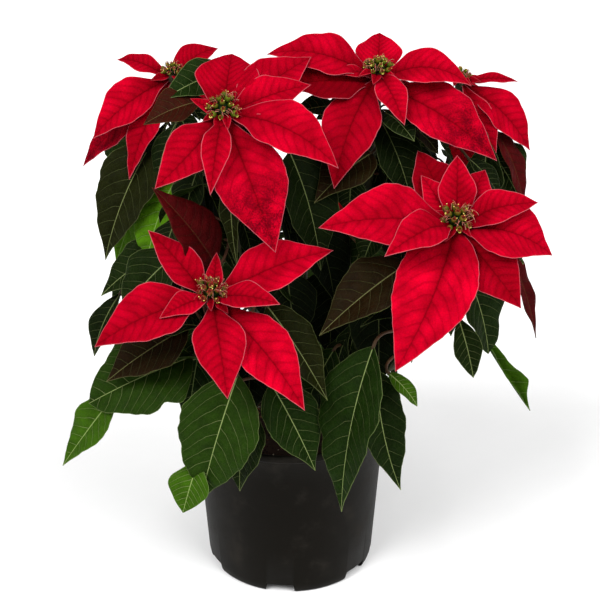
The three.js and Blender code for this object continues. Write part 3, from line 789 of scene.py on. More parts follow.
def flower_of(name):
    """Cluster of cyathia: one in the middle, five and eight in two leaning rings round it, which
    make a low dome, and threads that curl over one another round it. The whole leans forward."""
    shoot = SHOOTS[name]
    rng = np.random.default_rng(11 * ord(name))
    dish = [(1.6, -0.2), (2.8, 0.3), (4.8, 0.6), (6.0, 1.4), (4.8, 3.0), (1.0, 4.2)]
    # The dish takes the cup foot colour all over: partly its own green and partly painted shade in the
    # middle of the cluster.
    parts = [revolve(dish, 18, marks={"cup": (0, 0, shoot.ripe)})]
    places = [(0.0, shoot.turn, 5.0, 5)]
    places += [(4.0, shoot.turn + 72 * k, 3.4, 18) for k in range(5)]
    places += [(7.2, shoot.turn + 25 + 45 * k, 1.2, 48) for k in range(8)]
    for distance, azimuth, rise, tip in places:
        azimuth += rng.uniform(-9, 9)
        matrix = turn_about("Z", azimuth) @ turn_about("Y", tip + rng.uniform(-8, 8))
        matrix = matrix * rng.uniform(0.75, 1.05)
        shift = around(distance, math.radians(azimuth), rise)
        ripe = shoot.ripe + rng.uniform(-0.2, 0.2)
        parts += [moved(part, shift, matrix) for part in cyathium(rng, ripe)]
    for _ in range(THREAD_COUNT):
        a = math.radians(shoot.turn) + rng.uniform(0, 2 * math.pi)
        out = around(1, a, 0)
        bend = unit(out + around(rng.uniform(-1.6, 1.6), a + math.pi / 2, 0))
        start = out * rng.uniform(3.0, 7.5) + (0, 0, rng.uniform(1.6, 5.0))
        path = curl(start, bend, rng.uniform(0.5, 1.2), rng.uniform(2.6, 5.4), rng.uniform(3.0, 5.4), 18)
        parts.append(tube(path, 0.2, 6, 4))
    lean = shoot.lean
    seat = (shoot.x, shoot.y - 0.05 * lean, shoot.z + HUB_RISE + GAP - 0.02 * lean)
    return [moved(part, seat, turn_about("X", lean) * shoot.scale) for part in parts]


# ---- trunk, growing mix and pot ----
def trunk_part():
    """Trunk: radius * (1 + bark), where bark is ripples stretched along the stem and low rings."""
    z = np.linspace(TRUNK_FOOT, TRUNK_TOP, 90)[:, None]
    a = circle(40)
    radius = through(
        ((TRUNK_FOOT, TRUNK_RADIUS), (112, TRUNK_RADIUS), (TRUNK_TOP - 4, 5.2), (TRUNK_TOP, 4.2)), z
    )
    bark = ripples(np.cos(a) * 16, z * 0.35, 9, 9, 2.5, 3) + ripples(np.sin(a) * 16, z * 0.3, 9, 8, 2, 4)
    bark = 0.028 * bark + 0.05 * sum(bell(z - height, 1.1) for height in TRUNK_RINGS)
    return rings(around(np.minimum(radius * (0.98 + bark), TRUNK_RADIUS + 0.25), a, z))


def soil_part():
    """Growing mix: the plug's profile carried round Z, its top roughened by ripples."""
    low = (POT_SHOULDER - POT_WALL, POT_FLOOR + 3)
    high = (POT_TOP_RADIUS - POT_WALL - 0.6, POT_HEIGHT - LIP_DEPTH - 1)
    edge = low[0] + (high[0] - low[0]) * (SOIL_TOP - low[1]) / (high[1] - low[1]) - SOIL_CLEAR
    hole = TRUNK_RADIUS + GAP
    across = np.linspace(edge, hole, 46)
    crown = SOIL_TOP + through(((hole, 1.6), (20, 0.8), (44, 1.6), (edge, 0)), across)
    r = np.concatenate([[0.5, POT_SHOULDER - 5 - GAP, low[0] - SOIL_CLEAR], across, [hole, 0.5]])
    z = np.concatenate([[POT_FLOOR + GAP] * 2, [low[1] + GAP], crown, [TRUNK_FOOT - GAP] * 2])
    on_top = np.zeros((len(r), 1))
    on_top[4:-3] = 1
    flat = around(r[:, None], circle(180), z[:, None])
    rough = 0.75 * ripples(flat[..., 0], flat[..., 1], 26, 16, 1.8, 5) * on_top
    flat[..., 2] += np.minimum(rough, 1.3)
    return rings(flat)


def crumbs(count):
    """Crumbs of peat and bark: cubes with their corners pushed about, turned at random and half
    sunk in the top of the mix."""
    rng = np.random.default_rng(CRUMB_SEED)
    corner = np.array([[x, y, z] for x in (-1, 1) for y in (-1, 1) for z in (-1, 1)], float)
    faces = [[0, 1, 3, 2], [4, 6, 7, 5], [0, 4, 5, 1], [2, 3, 7, 6], [0, 2, 6, 4], [1, 5, 7, 3]]
    size = rng.gamma(3.0, 0.22, count).clip(0.3, 1.7)[:, None, None]
    stretch = rng.uniform([0.6, 0.4, 0.35], [1.7, 0.9, 0.8], (count, 3))[:, None]
    shape = (corner + rng.uniform(-0.45, 0.45, (count, 8, 3))) * stretch * size * 0.6
    turn = np.linalg.qr(rng.normal(size=(count, 3, 3)))[0]
    shape = np.einsum("nij,nkj->nki", turn, shape)
    r = np.sqrt(rng.uniform((TRUNK_RADIUS + 2.5) ** 2, CRUMB_REACH**2, count))
    a = rng.uniform(0, 2 * math.pi, count)
    place = around(r, a, SOIL_TOP + 1.3 + rng.uniform(-0.4, 0.5, count))
    points = (shape + place[:, None]).reshape(-1, 3)
    quads = (faces + 8 * np.arange(count)[:, None, None]).reshape(-1, 4)
    tone = np.stack([rng.uniform(0, 1, count), rng.uniform(0, 1, count), np.ones(count)], -1)
    return Part(points, outward(points, quads), 0, {"crumb": tone.repeat(8, axis=0)})


def pot_part(settings):
    """Pot: its profile carried round Z on close-set angles. Within a notch, points below the
    notch's roof are raised to it: z = max(z, roof (1 - smooth(|sideways|)))."""
    rim, base = settings.rim_radius / MM, settings.base_radius / MM
    gap_half, gap_height = settings.notch_width / MM / 2, settings.notch_height / MM
    lip, top, under = rim + LIP_STAND, POT_HEIGHT, POT_HEIGHT - LIP_DEPTH
    r, z = np.array([
        (0.5, 0), (CENTRE_FOOT - 0.5, 0), (CENTRE_FOOT, 0.5), (CENTRE_FOOT + 1, RECESS_HEIGHT),
        (RECESS_RADIUS - 1, RECESS_HEIGHT), (RECESS_RADIUS, RECESS_HEIGHT - 0.5),
        (RECESS_RADIUS + 2.6, 0.4), (RECESS_RADIUS + 3.2, 0), (base - 2.2, 0), (base - 1.0, 0.15),
        (base + 0.2, 0.9), (base + 0.9, 2.2), (POT_SHOULDER - 0.5, 4.4), (POT_SHOULDER, 7),
        (58.2, 36), (60.4, 66), (62.4, 90), (rim - 0.7, under - 1.6), (rim - 0.3, under - 0.9),
        (lip - 0.3, under - 0.2), (lip, under + 0.5), (lip, top - 1.4), (lip - 0.3, top - 0.5),
        (lip - 0.9, top), (rim - 0.6, top - 0.1), (rim - 1.1, top - 1.0),
        (rim - POT_WALL - 0.6, under - 1), (POT_SHOULDER - POT_WALL + 0.1, POT_FLOOR + 4),
        (POT_SHOULDER - POT_WALL - 1, POT_FLOOR + 1.2), (POT_SHOULDER - 5, POT_FLOOR), (0.5, POT_FLOOR),
    ]).T[:, :, None]
    edge = math.degrees(math.asin(gap_half / base))
    near = edge + np.array([-1.6, -0.5, -0.2, 0.0, 0.2, 0.4, 0.9, 2.0])
    inner, outer = np.linspace(3 - edge, edge - 3, 7), [16, 20, 25, 30, 35, 40, 44]
    span = np.sort(np.concatenate([-near, inner, near, outer]))
    feet = NOTCH_TURN + 360 / FOOT_COUNT * np.arange(FOOT_COUNT)
    a = np.radians((feet[:, None] + span).ravel())
    beside = np.radians(np.tile(span, FOOT_COUNT))
    sideways = np.abs(r * np.sin(beside))
    notch = (1 - smooth(sideways, gap_half - 0.35, gap_half + 0.35)) * (np.cos(beside) > 0.5)
    return rings(around(r, a, np.maximum(z, gap_height * notch * (r > 40))))


# ---- materials ----
def sign(operation, swapped=False):
    """Method that works on a value, and on another if there is one, with a Math node."""

    def join(self, *other):
        values = (*other, self) if swapped else (self, *other)
        return self.finish.math(operation, *values)

    return join


class Wire:
    """A value in a material. Each sign written between two of them adds a Math node."""

    def __init__(self, finish, socket):
        self.finish = finish
        self.socket = socket

    __add__ = __radd__ = sign("ADD")
    __mul__ = __rmul__ = sign("MULTIPLY")
    __sub__ = sign("SUBTRACT")
    __rsub__ = sign("SUBTRACT", swapped=True)
    __truediv__ = sign("DIVIDE")
    __gt__ = sign("GREATER_THAN")
    __abs__ = sign("ABSOLUTE")


class Finish:
    """A material in the making: each method adds a node and returns what it gives."""

    def __init__(self, name, **sockets):
        self.material = bpy.data.materials.new(name)
        self.material.use_nodes = True
        self.tree = self.material.node_tree
        self.shader = self.tree.nodes["Principled BSDF"]
        self.feed(self.shader, {key.replace("_", " "): value for key, value in sockets.items()})

    def feed(self, node, inputs):
        """Links or sets the inputs of a node."""
        for key, value in inputs.items():
            if isinstance(value, Wire):
                self.tree.links.new(value.socket, node.inputs[key])
            else:
                node.inputs[key].default_value = value

    def add(self, kind, inputs=None, output=0, **settings):
        """A node with these inputs and settings; gives one of its outputs."""
        node = self.tree.nodes.new("ShaderNode" + kind)
        for key, value in settings.items():
            setattr(node, key, value)
        self.feed(node, inputs or {})
        return Wire(self, node.outputs[output])

    def math(self, operation, *values):
        return self.add("Math", dict(enumerate(values)), operation=operation)

    def mark(self, name):
        """The three numbers of a mesh attribute."""
        return self.parts(self.add("Attribute", attribute_name=name, output="Vector"))

    def parts(self, vector):
        """The three numbers of a vector."""
        outputs = self.add("SeparateXYZ", {0: vector}).socket.node.outputs
        return [Wire(self, socket) for socket in outputs]

    def place(self):
        """Object coordinates, in metres."""
        return self.add("TexCoord", output="Object")

    def stretched(self, place, factor):
        """A place with its height multiplied."""
        return self.add("Mapping", {"Vector": place, "Scale": (1, 1, factor)})

    def noise(self, vector, scale, detail=3, rough=0.55):
        inputs = {"Vector": vector, "Scale": scale, "Detail": detail, "Roughness": rough}
        return self.add("TexNoise", inputs)

    def cells(self, vector, scale, feature="F1"):
        return self.add("TexVoronoi", {"Vector": vector, "Scale": scale}, "Distance", feature=feature)

    def ramp(self, value, low, high):
        """0 below low, 1 above high, smooth between them; the other way round if high is lower."""
        inputs = {"Value": value, "From Min": low, "From Max": high}
        return self.add("MapRange", inputs, interpolation_type="SMOOTHSTEP")

    def coats(self, colour, *coats):
        """A colour with others laid over it in turn, each by its share."""
        for share, over in coats:
            under, over = [c if isinstance(c, Wire) else (*c, 1.0) for c in (colour, over)]
            inputs = {"Factor": share, 6: under, 7: over}
            colour = self.add("Mix", inputs, 2, data_type="RGBA", clamp_factor=True)
        return colour

    def shaded(self, colour, value):
        """A colour with its brightness multiplied."""
        return self.add("HueSaturation", {"Color": colour, "Value": value})

    def done(self, colour, roughness, height, relief):
        """Joins colour, roughness and a height map of this relief in metres to the shader."""
        normal = self.add("Bump", {"Height": height, "Distance": relief, "Strength": 1.0})
        self.feed(self.shader, {"Base Color": colour, "Roughness": roughness, "Normal": normal})
        return self.material


Veins = namedtuple("Veins", "flat off midrib lateral net near under margin relief t")


def veins(f, fade, core, net_size):
    """What the surface of a blade is drawn with. A lateral vein runs where (along - lean off -
    curve off^2) / spacing + half the side is whole, it wanders a little and it thins from the
    midrib to the margin. Near is 1 on a lateral vein and 0 midway between two, and the relief sinks
    the veins into the top and raises them on the underside."""
    along, across, edge = f.mark("rib")
    spacing, under, t = f.mark("vein")
    off = abs(across)
    flat = f.add("CombineXYZ", {0: along, 1: across, 2: under * 40})
    wavy = along + (f.noise(flat, 0.07, 2) - 0.5) * spacing * 0.45
    phase = (wavy - off * VEIN_LEAN - off * off * VEIN_CURVE) / spacing + (across > 0) * 0.5
    beside = abs(phase - f.math("ROUND", phase)) * spacing
    outer = off / (off + edge)
    lateral = f.ramp(beside, fade, core) * (1 - outer * 0.6) * f.ramp(edge, 0.2, 1.6)
    net = f.ramp(f.cells(flat, 1 / net_size, "DISTANCE_TO_EDGE"), 0.14, 0.02)
    return Veins(
        flat, off, f.ramp(off, 0.62 - t * 0.38, 0.12 - t * 0.11), lateral, net,
        near=f.ramp(beside / spacing, 0.5, 0.0), under=under,
        margin=f.ramp(edge, 0.55, 0.15) * f.ramp(spacing, 1.8, 4.2),
        relief=net * -0.3 + lateral * (under * 2 - 1) * 0.9, t=t,
    )


def leaf_finish(colours):
    """Leaf blade: green, bronze or maroon with paler veins, a pale margin that is a painted rim
    highlight, a fine net and a dull, paler underside. The brightest tones are partly a painted glow
    of light through the leaf. The brightness wanders and dips at the veins, partly the leaf's own
    uneven tone and partly painted shade of the quilting, and tones below 0 darken the leaf as
    painted shade."""
    f = Finish(
        "leaf_blade", Subsurface_Weight=0.1, Subsurface_Scale=0.0006,
        Subsurface_Radius=(0.5, 1.0, 0.2), Specular_IOR_Level=0.03,
    )
    v = veins(f, 0.36, 0.04, 2.4)
    bright, bronze, maroon = f.mark("tint")
    # The second ramp mixes in the bright leaf colours: partly a young leaf's own pale green and partly a
    # painted glow of light shining through the leaf from behind.
    fresh, pale_and_backlit = f.ramp(bright, 0, 0.5), f.ramp(bright, 0.5, 1)
    body = f.coats(
        colours.leaf_dark, (fresh, colours.leaf_fresh), (pale_and_backlit, colours.leaf_pale_and_backlit),
        (bronze, colours.leaf_bronze), (maroon, colours.leaf_maroon),
        (f.noise(v.flat, 0.055, 2) * bronze * 0.3, colours.leaf_dark),
    )
    # Painted shade: the brightness wanders with noise, partly the leaf's own uneven tone, and dips a
    # little at the lateral veins so that the blade looks quilted.
    body = f.shaded(body, 0.40 + f.noise(v.flat, 0.10, 4) * 1.1 - v.near * 0.10)
    # Painted shade: tones below 0 multiply the blade and its veins down to 0.3 of their brightness, for
    # leaves that sit in shadow.
    painted_shade_factor = 1 - f.ramp(bright, 0, -1) * 0.7
    pale = f.coats(
        colours.leaf_vein, (pale_and_backlit, colours.leaf_pale_and_backlit_vein), (bronze * 0.6, colours.leaf_bronze_vein),
        (maroon * 0.9, colours.petiole),
    )
    pale = f.shaded(pale, painted_shade_factor * (1 - maroon * 0.5))
    # The veins and fine net are the leaf's own paler colour; the pale margin is a painted rim highlight.
    body = f.coats(
        f.shaded(body, painted_shade_factor), (v.under * 0.4, colours.leaf_under), (v.net * 0.012, pale),
        (v.lateral * (0.28 + fresh * 0.22), pale), (v.midrib * 0.8, pale), (v.margin * 0.32, pale),
    )
    rough = 0.44 + f.noise(v.flat, 0.5, 3) * 0.2 + v.under * 0.15
    return f.done(body, rough, v.relief + f.noise(v.flat, 1.4, 2) * 0.25, 0.0005)


def bract_finish(colours):
    """Bract: velvety red, deeper along the midrib, the veins and the base, with a thin pale
    margin, dark speckles where it is marked for them, and a duller, pinker underside. The shade
    digit, the broad darkening along the midrib and at the base, and the wandering brightness are
    partly the bract's own deeper red and partly painted shade. The dip at the veins is painted
    shade of the quilting, and the pale margin is a painted rim highlight."""
    f = Finish(
        "bract_blade", Subsurface_Weight=0.12, Subsurface_Scale=0.0008,
        Subsurface_Radius=(1.0, 0.1, 0.1), Specular_IOR_Level=0.008,
        Sheen_Weight=0.12, Sheen_Roughness=0.45, Sheen_Tint=(1.0, 0.0, 0.05, 1.0),
    )
    v = veins(f, 1.3, 0.1, 1.8)
    shade, speckle, seed = f.mark("tint")
    apart = f.add("CombineXYZ", {0: seed * 90})
    cloud = f.noise(f.add("VectorMath", {0: v.flat, 1: apart}), 0.06, 4)
    # Partly painted shade: the shade digit deepens bracts that sit in shadow. The broad wine along the
    # midrib and the deep red at the base stand partly for shade in the fold and where the bracts crowd
    # under the flowers. The clouds are the bract's own uneven red.
    body = f.coats(
        colours.red, (shade, colours.deep), (f.ramp(cloud, 0.32, 0.7) * 0.65, colours.wine),
        (f.ramp(v.off, 8.0, 0) * (0.65 - v.t * 0.35), colours.wine),
        (f.ramp(v.t, 0.42, 0) * 0.65, colours.deep),
    )
    # Painted shade: the brightness dips a little at the lateral veins so that the bract looks quilted, and
    # the fine noise is partly the bract's own uneven tone and partly painted shade.
    body = f.shaded(body, 0.75 - v.near * 0.09 + f.noise(v.flat, 0.9, 2) * 0.42)
    dots = f.ramp(f.noise(v.flat, 0.9, 4, 0.7) + f.noise(v.flat, 0.12, 2) * 0.6, 0.66, 0.92)
    # The pale margin laid on below is a painted rim highlight.
    body = f.coats(
        body, (dots * f.ramp(v.t, 0.2, 0.75) * speckle * 0.85, colours.speck),
        (v.under * 0.5, colours.under), (v.net * 0.10, colours.deep),
        (v.lateral * 0.26, colours.deep), (f.ramp(v.off, 1.7, 0) * (0.5 - v.t * 0.35), colours.deep),
        (v.midrib * 0.5, colours.deep), (v.margin * 0.58, colours.edge),
    )
    rough = 0.6 + f.noise(v.flat, 0.7, 3) * 0.2
    return f.done(body, rough, v.relief + f.noise(v.flat, 2.2, 2) * 0.5, 0.0004)


def stem_finish(colours):
    """Green stems: green bark with brown patches and pale pores, redder along the petioles."""
    f = Finish("green_stem", Specular_IOR_Level=0.2)
    up, _, kind = f.mark("stem")
    place = f.place()
    pores = f.ramp(f.cells(place, 520), 0.16, 0.08)
    body = f.coats(
        colours.stem, (f.ramp(kind, 0.6, 1.0) * (0.85 - up * 0.5), colours.petiole),
        (f.noise(place, 140, 3), colours.stem_low),
    )
    body = f.shaded(body, 0.75 + f.noise(place, 420, 3) * 0.5)
    body = f.coats(body, (pores * 0.5, colours.leaf_vein))
    height = f.noise(place, 900, 3) + pores * 0.6
    return f.done(body, 0.5 + f.noise(place, 300, 2) * 0.2, height, 0.0003)


def bark_finish(colours):
    """Trunk: grey brown bark, cracked along the stem, greener towards the top."""
    f = Finish("bark", Specular_IOR_Level=0.3)
    place = f.place()
    crack = f.noise(f.stretched(place, 0.22), 900, 5, 0.65)
    body = f.coats(
        colours.bark, (f.ramp(f.parts(place)[2], 0.118, 0.15) * 0.5, colours.stem),
        (f.ramp(crack, 0.62, 0.4), colours.crack),
    )
    body = f.shaded(body, 0.75 + f.noise(place, 260, 4) * 0.5)
    return f.done(body, 0.72 + crack * 0.15, crack, 0.0006)


def mix_finish(colours):
    """Growing mix: near black peat with red brown crumbs and a few pale grains."""
    f = Finish("growing_mix", Specular_IOR_Level=0.15)
    first, second, crumb = f.mark("crumb")
    place = f.place()
    tone = f.coats(
        colours.peat, (f.ramp(second, 0.35, 0.95), colours.chip),
        (f.ramp(first, 0.955, 0.97), colours.grain),
    )
    body = f.coats(
        colours.peat, (f.noise(place, 350, 5, 0.7), colours.fibre),
        (crumb, f.shaded(tone, 0.6 + first * 0.7)),
    )
    return f.done(body, 0.9, f.noise(place, 1400, 4, 0.7), 0.0006)


def pot_finish(colours):
    """Pot: matt black thin plastic with a fine grain, faint turned rings and dusty scuffs."""
    f = Finish("black_plastic", Specular_IOR_Level=0.06, Specular_Tint=(1.0, 0.94, 0.80, 1.0))
    place = f.place()
    turned = f.math("SINE", f.parts(place)[2] * 5200) * 0.5 + 0.5
    dust = f.ramp(f.noise(place, 38, 6, 0.65), 0.52, 0.8)
    scuff = f.ramp(f.noise(f.stretched(place, 6), 60, 6, 0.7), 0.6, 0.78)
    body = f.coats(colours.plastic, (dust * 0.3, colours.dust), (scuff * 0.12, colours.dust))
    rough = 0.40 + f.noise(place, 90, 4) * 0.14 + dust * 0.2
    return f.done(body, rough, f.noise(place, 3600, 2) * 0.6 + turned * 0.12, 0.00012)


def cup_finish(colours):
    """Cup of a cyathium: dark green at the foot, partly painted shade where the cups crowd,
    yellower at the rim, or red brown where it is ripe.
    """
    f = Finish("cyathium_cup", Subsurface_Weight=0.1, Subsurface_Scale=0.0006, Specular_IOR_Level=0.08)
    height, inside, ripe = f.mark("cup")
    place = f.place()
    # The dark cup foot is partly the cup's own green and partly painted shade where the cups crowd
    # together.
    body = f.coats(
        colours.cup_low, (height, colours.cup_high),
        (f.ramp(height, 0.45, 1.0) * ripe, colours.cup_ripe), (inside * 0.75, colours.cup_mouth),
    )
    body = f.shaded(body, 0.7 + f.noise(place, 900, 3) * 0.6)
    return f.done(body, 0.42, f.noise(place, 1500, 3), 0.0003)


def small_finish(name, low, high):
    """A small flower part, its colour wandering between two."""
    f = Finish(name, Subsurface_Weight=0.1, Subsurface_Scale=0.0005, Specular_IOR_Level=0.15)
    speck = f.noise(f.place(), 1100, 3)
    body = f.coats(low, (f.ramp(speck, 0.35, 0.65), high))
    return f.done(body, 0.36 + speck * 0.2, speck, 0.0002)


def floor_finish(colours):
    """Floor: near white, matt, with a hardly visible unevenness."""
    f = Finish("pale_floor", Specular_IOR_Level=0.1)
    speck = f.noise(f.place(), 60, 3)
    body = f.shaded((*colours.floor, 1.0), 0.99 + speck * 0.02)
    return f.done(body, 0.9, speck, 0.00005)


# ---- settings ----
def amount(name, default, words, **kind):
    """A number that the user can change."""
    return bpy.props.FloatProperty(name=name, description=words, default=default, **kind)


def size(name, millimetres, words):
    """A length that the user can change, kept in metres."""
    return amount(name, millimetres * MM, words, min=0, precision=5, subtype="DISTANCE", unit="LENGTH")


def tone(name, colour, words):
    """A colour that the user can change."""
    return bpy.props.FloatVectorProperty(
        name=name, description=words, default=colour, size=3, min=0, max=1, subtype="COLOR",
    )


class PotSettings(bpy.types.PropertyGroup):
    rim_radius: size("Rim radius", POT_TOP_RADIUS, "Radius of the pot's side at the rim")
    base_radius: size("Base radius", POT_BASE_RADIUS, "Radius of the standing ring")
    notch_width: size("Notch width", NOTCH_WIDTH, "Width of the gaps between the feet")
    notch_height: size("Notch height", NOTCH_HEIGHT, "Height of the gaps between the feet")
    crumb_count: bpy.props.IntProperty(
        name="Crumbs", description="Number of crumbs on the growing mix", default=1500, min=0, max=4000,
    )
    plastic: tone("Plastic", (0.0026, 0.0021, 0.0014), "Black of the pot")
    dust: tone("Dust", (0.047, 0.041, 0.034), "Dust and scuffs on the pot")
    peat: tone("Peat", (0.008, 0.005, 0.004), "Darkest part of the mix")
    fibre: tone("Fibre", (0.035, 0.016, 0.009), "Fibres in the mix")
    chip: tone("Chips", (0.11, 0.045, 0.022), "Crumbs of bark")
    grain: tone("Grains", (0.22, 0.19, 0.14), "Pale grains in the mix")


class LeafSettings(bpy.types.PropertyGroup):
    thickness: size("Thickness", LEAF_STYLE.thick, "Thickness of a leaf between its veins")
    ruffle: size("Ruffle", LEAF_STYLE.ruffle, "Height of the waves along the margin")
    quilt: size("Quilting", LEAF_STYLE.quilt, "How far the blade bulges between lateral veins")
    stalk_radius: size("Petiole radius", STALK_RADIUS, "Radius of a petiole")
    leaf_dark: tone("Dark leaf", (0.0040, 0.0118, 0.0009), "Old, shaded leaves")
    leaf_fresh: tone("Fresh leaf", (0.0118, 0.031, 0.0015), "Young leaves")
    # Bright leaf and Bright veins are partly a young leaf's own pale green and partly a painted glow of
    # light through the leaf from behind.
    leaf_pale_and_backlit: tone("Bright leaf", (0.062, 0.165, 0.003), "Bright undersides and tips")
    leaf_under: tone("Underside", (0.024, 0.050, 0.006), "Underside of a leaf")
    leaf_bronze: tone("Bronze leaf", (0.0105, 0.0034, 0.0009), "Leaves between green and red")
    leaf_maroon: tone("Maroon leaf", (0.052, 0.0009, 0.002), "Leaves turning red")
    # The margin drawn in these vein colours is a painted rim highlight.
    leaf_vein: tone("Veins", (0.25, 0.31, 0.11), "Veins and margin of green leaves")
    leaf_pale_and_backlit_vein: tone("Bright veins", (0.24, 0.36, 0.10), "Veins and margin of bright leaves")
    leaf_bronze_vein: tone("Bronze veins", (0.075, 0.042, 0.018), "Veins of bronze leaves")
    stem: tone("Branch", (0.035, 0.040, 0.012), "Green bark of the branches")
    stem_low: tone("Old branch", (0.024, 0.017, 0.008), "Brown patches of the branches")
    petiole: tone("Petiole", (0.13, 0.024, 0.012), "Reddish petioles")
    bark: tone("Bark", (0.06, 0.042, 0.025), "Bark of the trunk")
    crack: tone("Cracks", (0.02, 0.012, 0.007), "Cracks in the bark")


class BractSettings(bpy.types.PropertyGroup):
    thickness: size("Thickness", BRACT_STYLE.thick, "Thickness of a bract between its veins")
    ruffle: size("Ruffle", BRACT_STYLE.ruffle, "Height of the waves along the margin")
    quilt: size("Quilting", BRACT_STYLE.quilt, "How far the bract bulges between lateral veins")
    red: tone("Red", (0.63, 0.0001, 0.0184), "Velvety red of the bracts")
    wine: tone("Wine", (0.19, 0.0001, 0.0036), "Cooler clouds in the red")
    deep: tone("Deep red", (0.072, 0.0001, 0.0011), "Veins and shaded bracts")
    speck: tone("Speckles", (0.030, 0.0004, 0.003), "Dark speckles on ageing bracts")
    under: tone("Underside", (0.28, 0.004, 0.014), "Underside of a bract")
    # Margin is a painted rim highlight round each bract.
    edge: tone("Margin", (0.56, 0.14, 0.17), "Pale margin of a bract")
    # Cup foot is partly the cup's own dark green and partly painted shade where the cups crowd together.
    cup_low: tone("Cup foot", (0.004, 0.013, 0.0008), "Foot of a cyathium")
    cup_high: tone("Cup rim", (0.085, 0.115, 0.005), "Rim of a fresh cyathium")
    cup_ripe: tone("Ripe rim", (0.14, 0.020, 0.010), "Rim of a ripe cyathium")
    cup_mouth: tone("Mouth", (0.10, 0.012, 0.008), "Inside of a cup")
    gland: tone("Gland", (0.70, 0.58, 0.12), "Nectar gland")
    pollen: tone("Pollen", (0.58, 0.48, 0.16), "Pollen on the anthers")
    stamen: tone("Stamen", (0.34, 0.006, 0.012), "Stamens")
    thread: tone("Threads", (0.40, 0.16, 0.11), "Threads that curl out of the cups")


class StudioSettings(bpy.types.PropertyGroup):
    camera_back: size("Camera distance", 1150, "How far in front of the pot's axis the camera stands")
    camera_height: size("Camera height", 776, "Height of the camera over the floor")
    camera_tilt: amount(
        "Camera tilt", math.radians(26.9), "How far the camera looks down", subtype="ANGLE",
    )
    camera_turn: amount(
        "Camera turn", math.radians(0.33), "How far the camera looks to the right", subtype="ANGLE",
    )
    lens: amount(
        "Lens", 118.7, "Focal length on a 36 mm sensor", min=10, subtype="DISTANCE_CAMERA",
    )
    left: amount("Left light", 3.0, "Strength of the soft light from the left front", min=0)
    right: amount("Right light", 2.4, "Strength of the softer light from the right front", min=0)
    sky: amount("Sky", 0.45, "Brightness of the even light all round", min=0)
    floor: tone("Floor", (0.9, 0.9, 0.9), "Colour of the floor")


# ---- operators ----
def blade_style(settings, base):
    """A blade style with the user's thickness, ruffle and quilting."""
    return base._replace(
        thick=settings.thickness / MM, ruffle=settings.ruffle / MM, quilt=settings.quilt / MM,
    )


class POINSETTIA_OT_pot(bpy.types.Operator):
    """Mould the nursery pot, with its rolled lip and the notches between its feet"""

    bl_idname = "poinsettia.pot"
    bl_label = "Nursery pot"

    def execute(self, context):
        settings = context.scene.poinsettia_pot
        write_piece("nursery_pot", [pot_part(settings)], [pot_finish(settings)], "pot")
        return {"FINISHED"}


class POINSETTIA_OT_mix(bpy.types.Operator):
    """Fill the pot with growing mix and scatter crumbs on it"""

    bl_idname = "poinsettia.mix"
    bl_label = "Growing mix"

    def execute(self, context):
        settings = context.scene.poinsettia_pot
        parts = [soil_part(), crumbs(settings.crumb_count)]
        write_piece("growing_mix", parts, [mix_finish(settings)], "soil")
        return {"FINISHED"}


class POINSETTIA_OT_trunk(bpy.types.Operator):
    """Stand the trunk in the growing mix"""

    bl_idname = "poinsettia.trunk"
    bl_label = "Trunk"

    def execute(self, context):
        finish = bark_finish(context.scene.poinsettia_leaf)
        write_piece("main_stem", [trunk_part()], [finish], "trunk")
        return {"FINISHED"}


class POINSETTIA_OT_foliage(bpy.types.Operator):
    """Grow the seven branches with their petioles and leaves"""

    bl_idname = "poinsettia.foliage"
    bl_label = "Branches and leaves"

    def execute(self, context):
        settings = context.scene.poinsettia_leaf
        blade_look, stem_look = leaf_finish(settings), stem_finish(settings)
        style = blade_style(settings, LEAF_STYLE)
        for name in SHOOTS:
            node = "stem_" + name
            write_piece("branch_" + name, branch_of(name), [stem_look], node)
            parts = leaves_of(name, style, settings.stalk_radius / MM)
            write_piece("foliage_" + name, parts, [blade_look, stem_look], node)
        return {"FINISHED"}


class POINSETTIA_OT_bracts(bpy.types.Operator):
    """Open the seven crowns of red bracts"""

    bl_idname = "poinsettia.bracts"
    bl_label = "Bracts"

    def execute(self, context):
        settings = context.scene.poinsettia_bract
        looks = [bract_finish(settings), stem_finish(context.scene.poinsettia_leaf)]
        style = blade_style(settings, BRACT_STYLE)
        for name in SHOOTS:
            write_piece("crown_" + name, crown_of(name, style), looks, "bracts_" + name)
        return {"FINISHED"}


class POINSETTIA_OT_flowers(bpy.types.Operator):
    """Set a cluster of cyathia in the middle of each crown"""

    bl_idname = "poinsettia.flowers"
    bl_label = "Cyathia"

    def execute(self, context):
        settings = context.scene.poinsettia_bract
        looks = [
            cup_finish(settings), small_finish("gland", settings.gland, settings.cup_high),
            small_finish("stamen", settings.stamen, settings.cup_ripe),
            small_finish("pollen", settings.pollen, settings.gland),
            small_finish("thread", settings.thread, settings.cup_ripe),
        ]
        for name in SHOOTS:
            write_piece("flowers_" + name, flower_of(name), looks, "cyathia_" + name)
        return {"FINISHED"}


def lamp(name, place, aim, strength, spread):
    """Far light from a place, in millimetres, towards a point, in metres. It is even over the whole
    floor and as soft as its spread, an angle in degrees."""
    light = bpy.data.lights.new(name, "SUN")
    light.energy = strength
    light.angle = math.radians(spread)
    holder = bpy.data.objects.new(name, light)
    holder.location = [value * MM for value in place]
    holder.rotation_euler = (aim - holder.location).to_track_quat("-Z", "Y").to_euler()
    bpy.context.scene.collection.objects.link(holder)


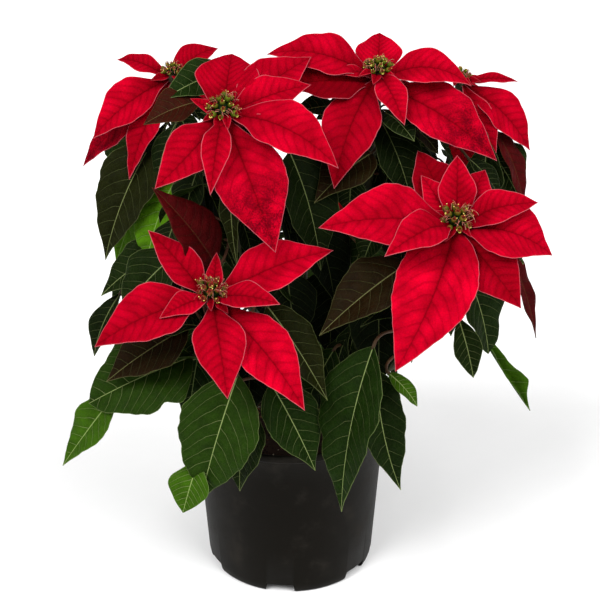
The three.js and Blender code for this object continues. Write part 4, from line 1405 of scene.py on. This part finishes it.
class POINSETTIA_OT_stage(bpy.types.Operator):
    """Lay the floor and set the lights and the camera"""

    bl_idname = "poinsettia.stage"
    bl_label = "Floor, lights and camera"

    def execute(self, context):
        settings = context.scene.poinsettia_studio
        mesh = bpy.data.meshes.new("floor")
        edge = FLOOR_HALF * MM
        corners = [(-edge, -edge, 0), (edge, -edge, 0), (edge, edge, 0), (-edge, edge, 0)]
        mesh.from_pydata(corners, [], [(0, 1, 2, 3)])
        mesh.materials.append(floor_finish(settings))
        floor = bpy.data.objects.new("floor", mesh)
        context.scene.collection.objects.link(floor)
        middle = (CAD_BOX[0] + CAD_BOX[1]) / 2
        lamp("left_light", LEFT_LIGHT, middle, settings.left, 30)
        lamp("right_light", RIGHT_LIGHT, middle, settings.right, 40)
        world = bpy.data.worlds.new("pale_room")
        world.use_nodes = True
        background = world.node_tree.nodes["Background"]
        background.inputs["Color"].default_value = (1, 1, 1, 1)
        background.inputs["Strength"].default_value = settings.sky
        context.scene.world = world
        camera = bpy.data.cameras.new("camera")
        camera.lens = settings.lens
        camera.sensor_width = SENSOR_WIDTH
        holder = bpy.data.objects.new("camera", camera)
        holder.location = (0, -settings.camera_back, settings.camera_height)
        holder.rotation_euler = (math.pi / 2 - settings.camera_tilt, 0, -settings.camera_turn)
        context.scene.collection.objects.link(holder)
        context.scene.camera = holder
        context.scene.view_settings.view_transform = "Standard"
        return {"FINISHED"}


SETTINGS = {"pot": PotSettings, "leaf": LeafSettings, "bract": BractSettings, "studio": StudioSettings}
OPERATORS = (
    POINSETTIA_OT_pot, POINSETTIA_OT_mix, POINSETTIA_OT_trunk, POINSETTIA_OT_foliage,
    POINSETTIA_OT_bracts, POINSETTIA_OT_flowers, POINSETTIA_OT_stage,
)


class POINSETTIA_PT_panel(bpy.types.Panel):
    """Steps that make the plant, and what can be changed about it"""

    bl_idname = "POINSETTIA_PT_panel"
    bl_label = "Potted Poinsettia"
    bl_space_type = "VIEW_3D"
    bl_region_type = "UI"
    bl_category = "Poinsettia"

    def draw(self, context):
        steps = self.layout.column(align=True)
        for operator in OPERATORS:
            steps.operator(operator.bl_idname)
        for name, group in SETTINGS.items():
            box = self.layout.box()
            box.label(text=name.capitalize())
            for setting in group.__annotations__:
                box.prop(getattr(context.scene, "poinsettia_" + name), setting)


CLASSES = (*SETTINGS.values(), *OPERATORS, POINSETTIA_PT_panel)


def register():
    for group in CLASSES:
        bpy.utils.register_class(group)
    for name, group in SETTINGS.items():
        setattr(bpy.types.Scene, "poinsettia_" + name, bpy.props.PointerProperty(type=group))


def unregister():
    for name in SETTINGS:
        delattr(bpy.types.Scene, "poinsettia_" + name)
    for group in reversed(CLASSES):
        bpy.utils.unregister_class(group)


def main():
    register()
    bpy.ops.poinsettia.pot()
    bpy.ops.poinsettia.mix()
    bpy.ops.poinsettia.trunk()
    bpy.ops.poinsettia.foliage()
    bpy.ops.poinsettia.bracts()
    bpy.ops.poinsettia.flowers()
    bpy.ops.poinsettia.stage()


if __name__ == "__main__":
    main()
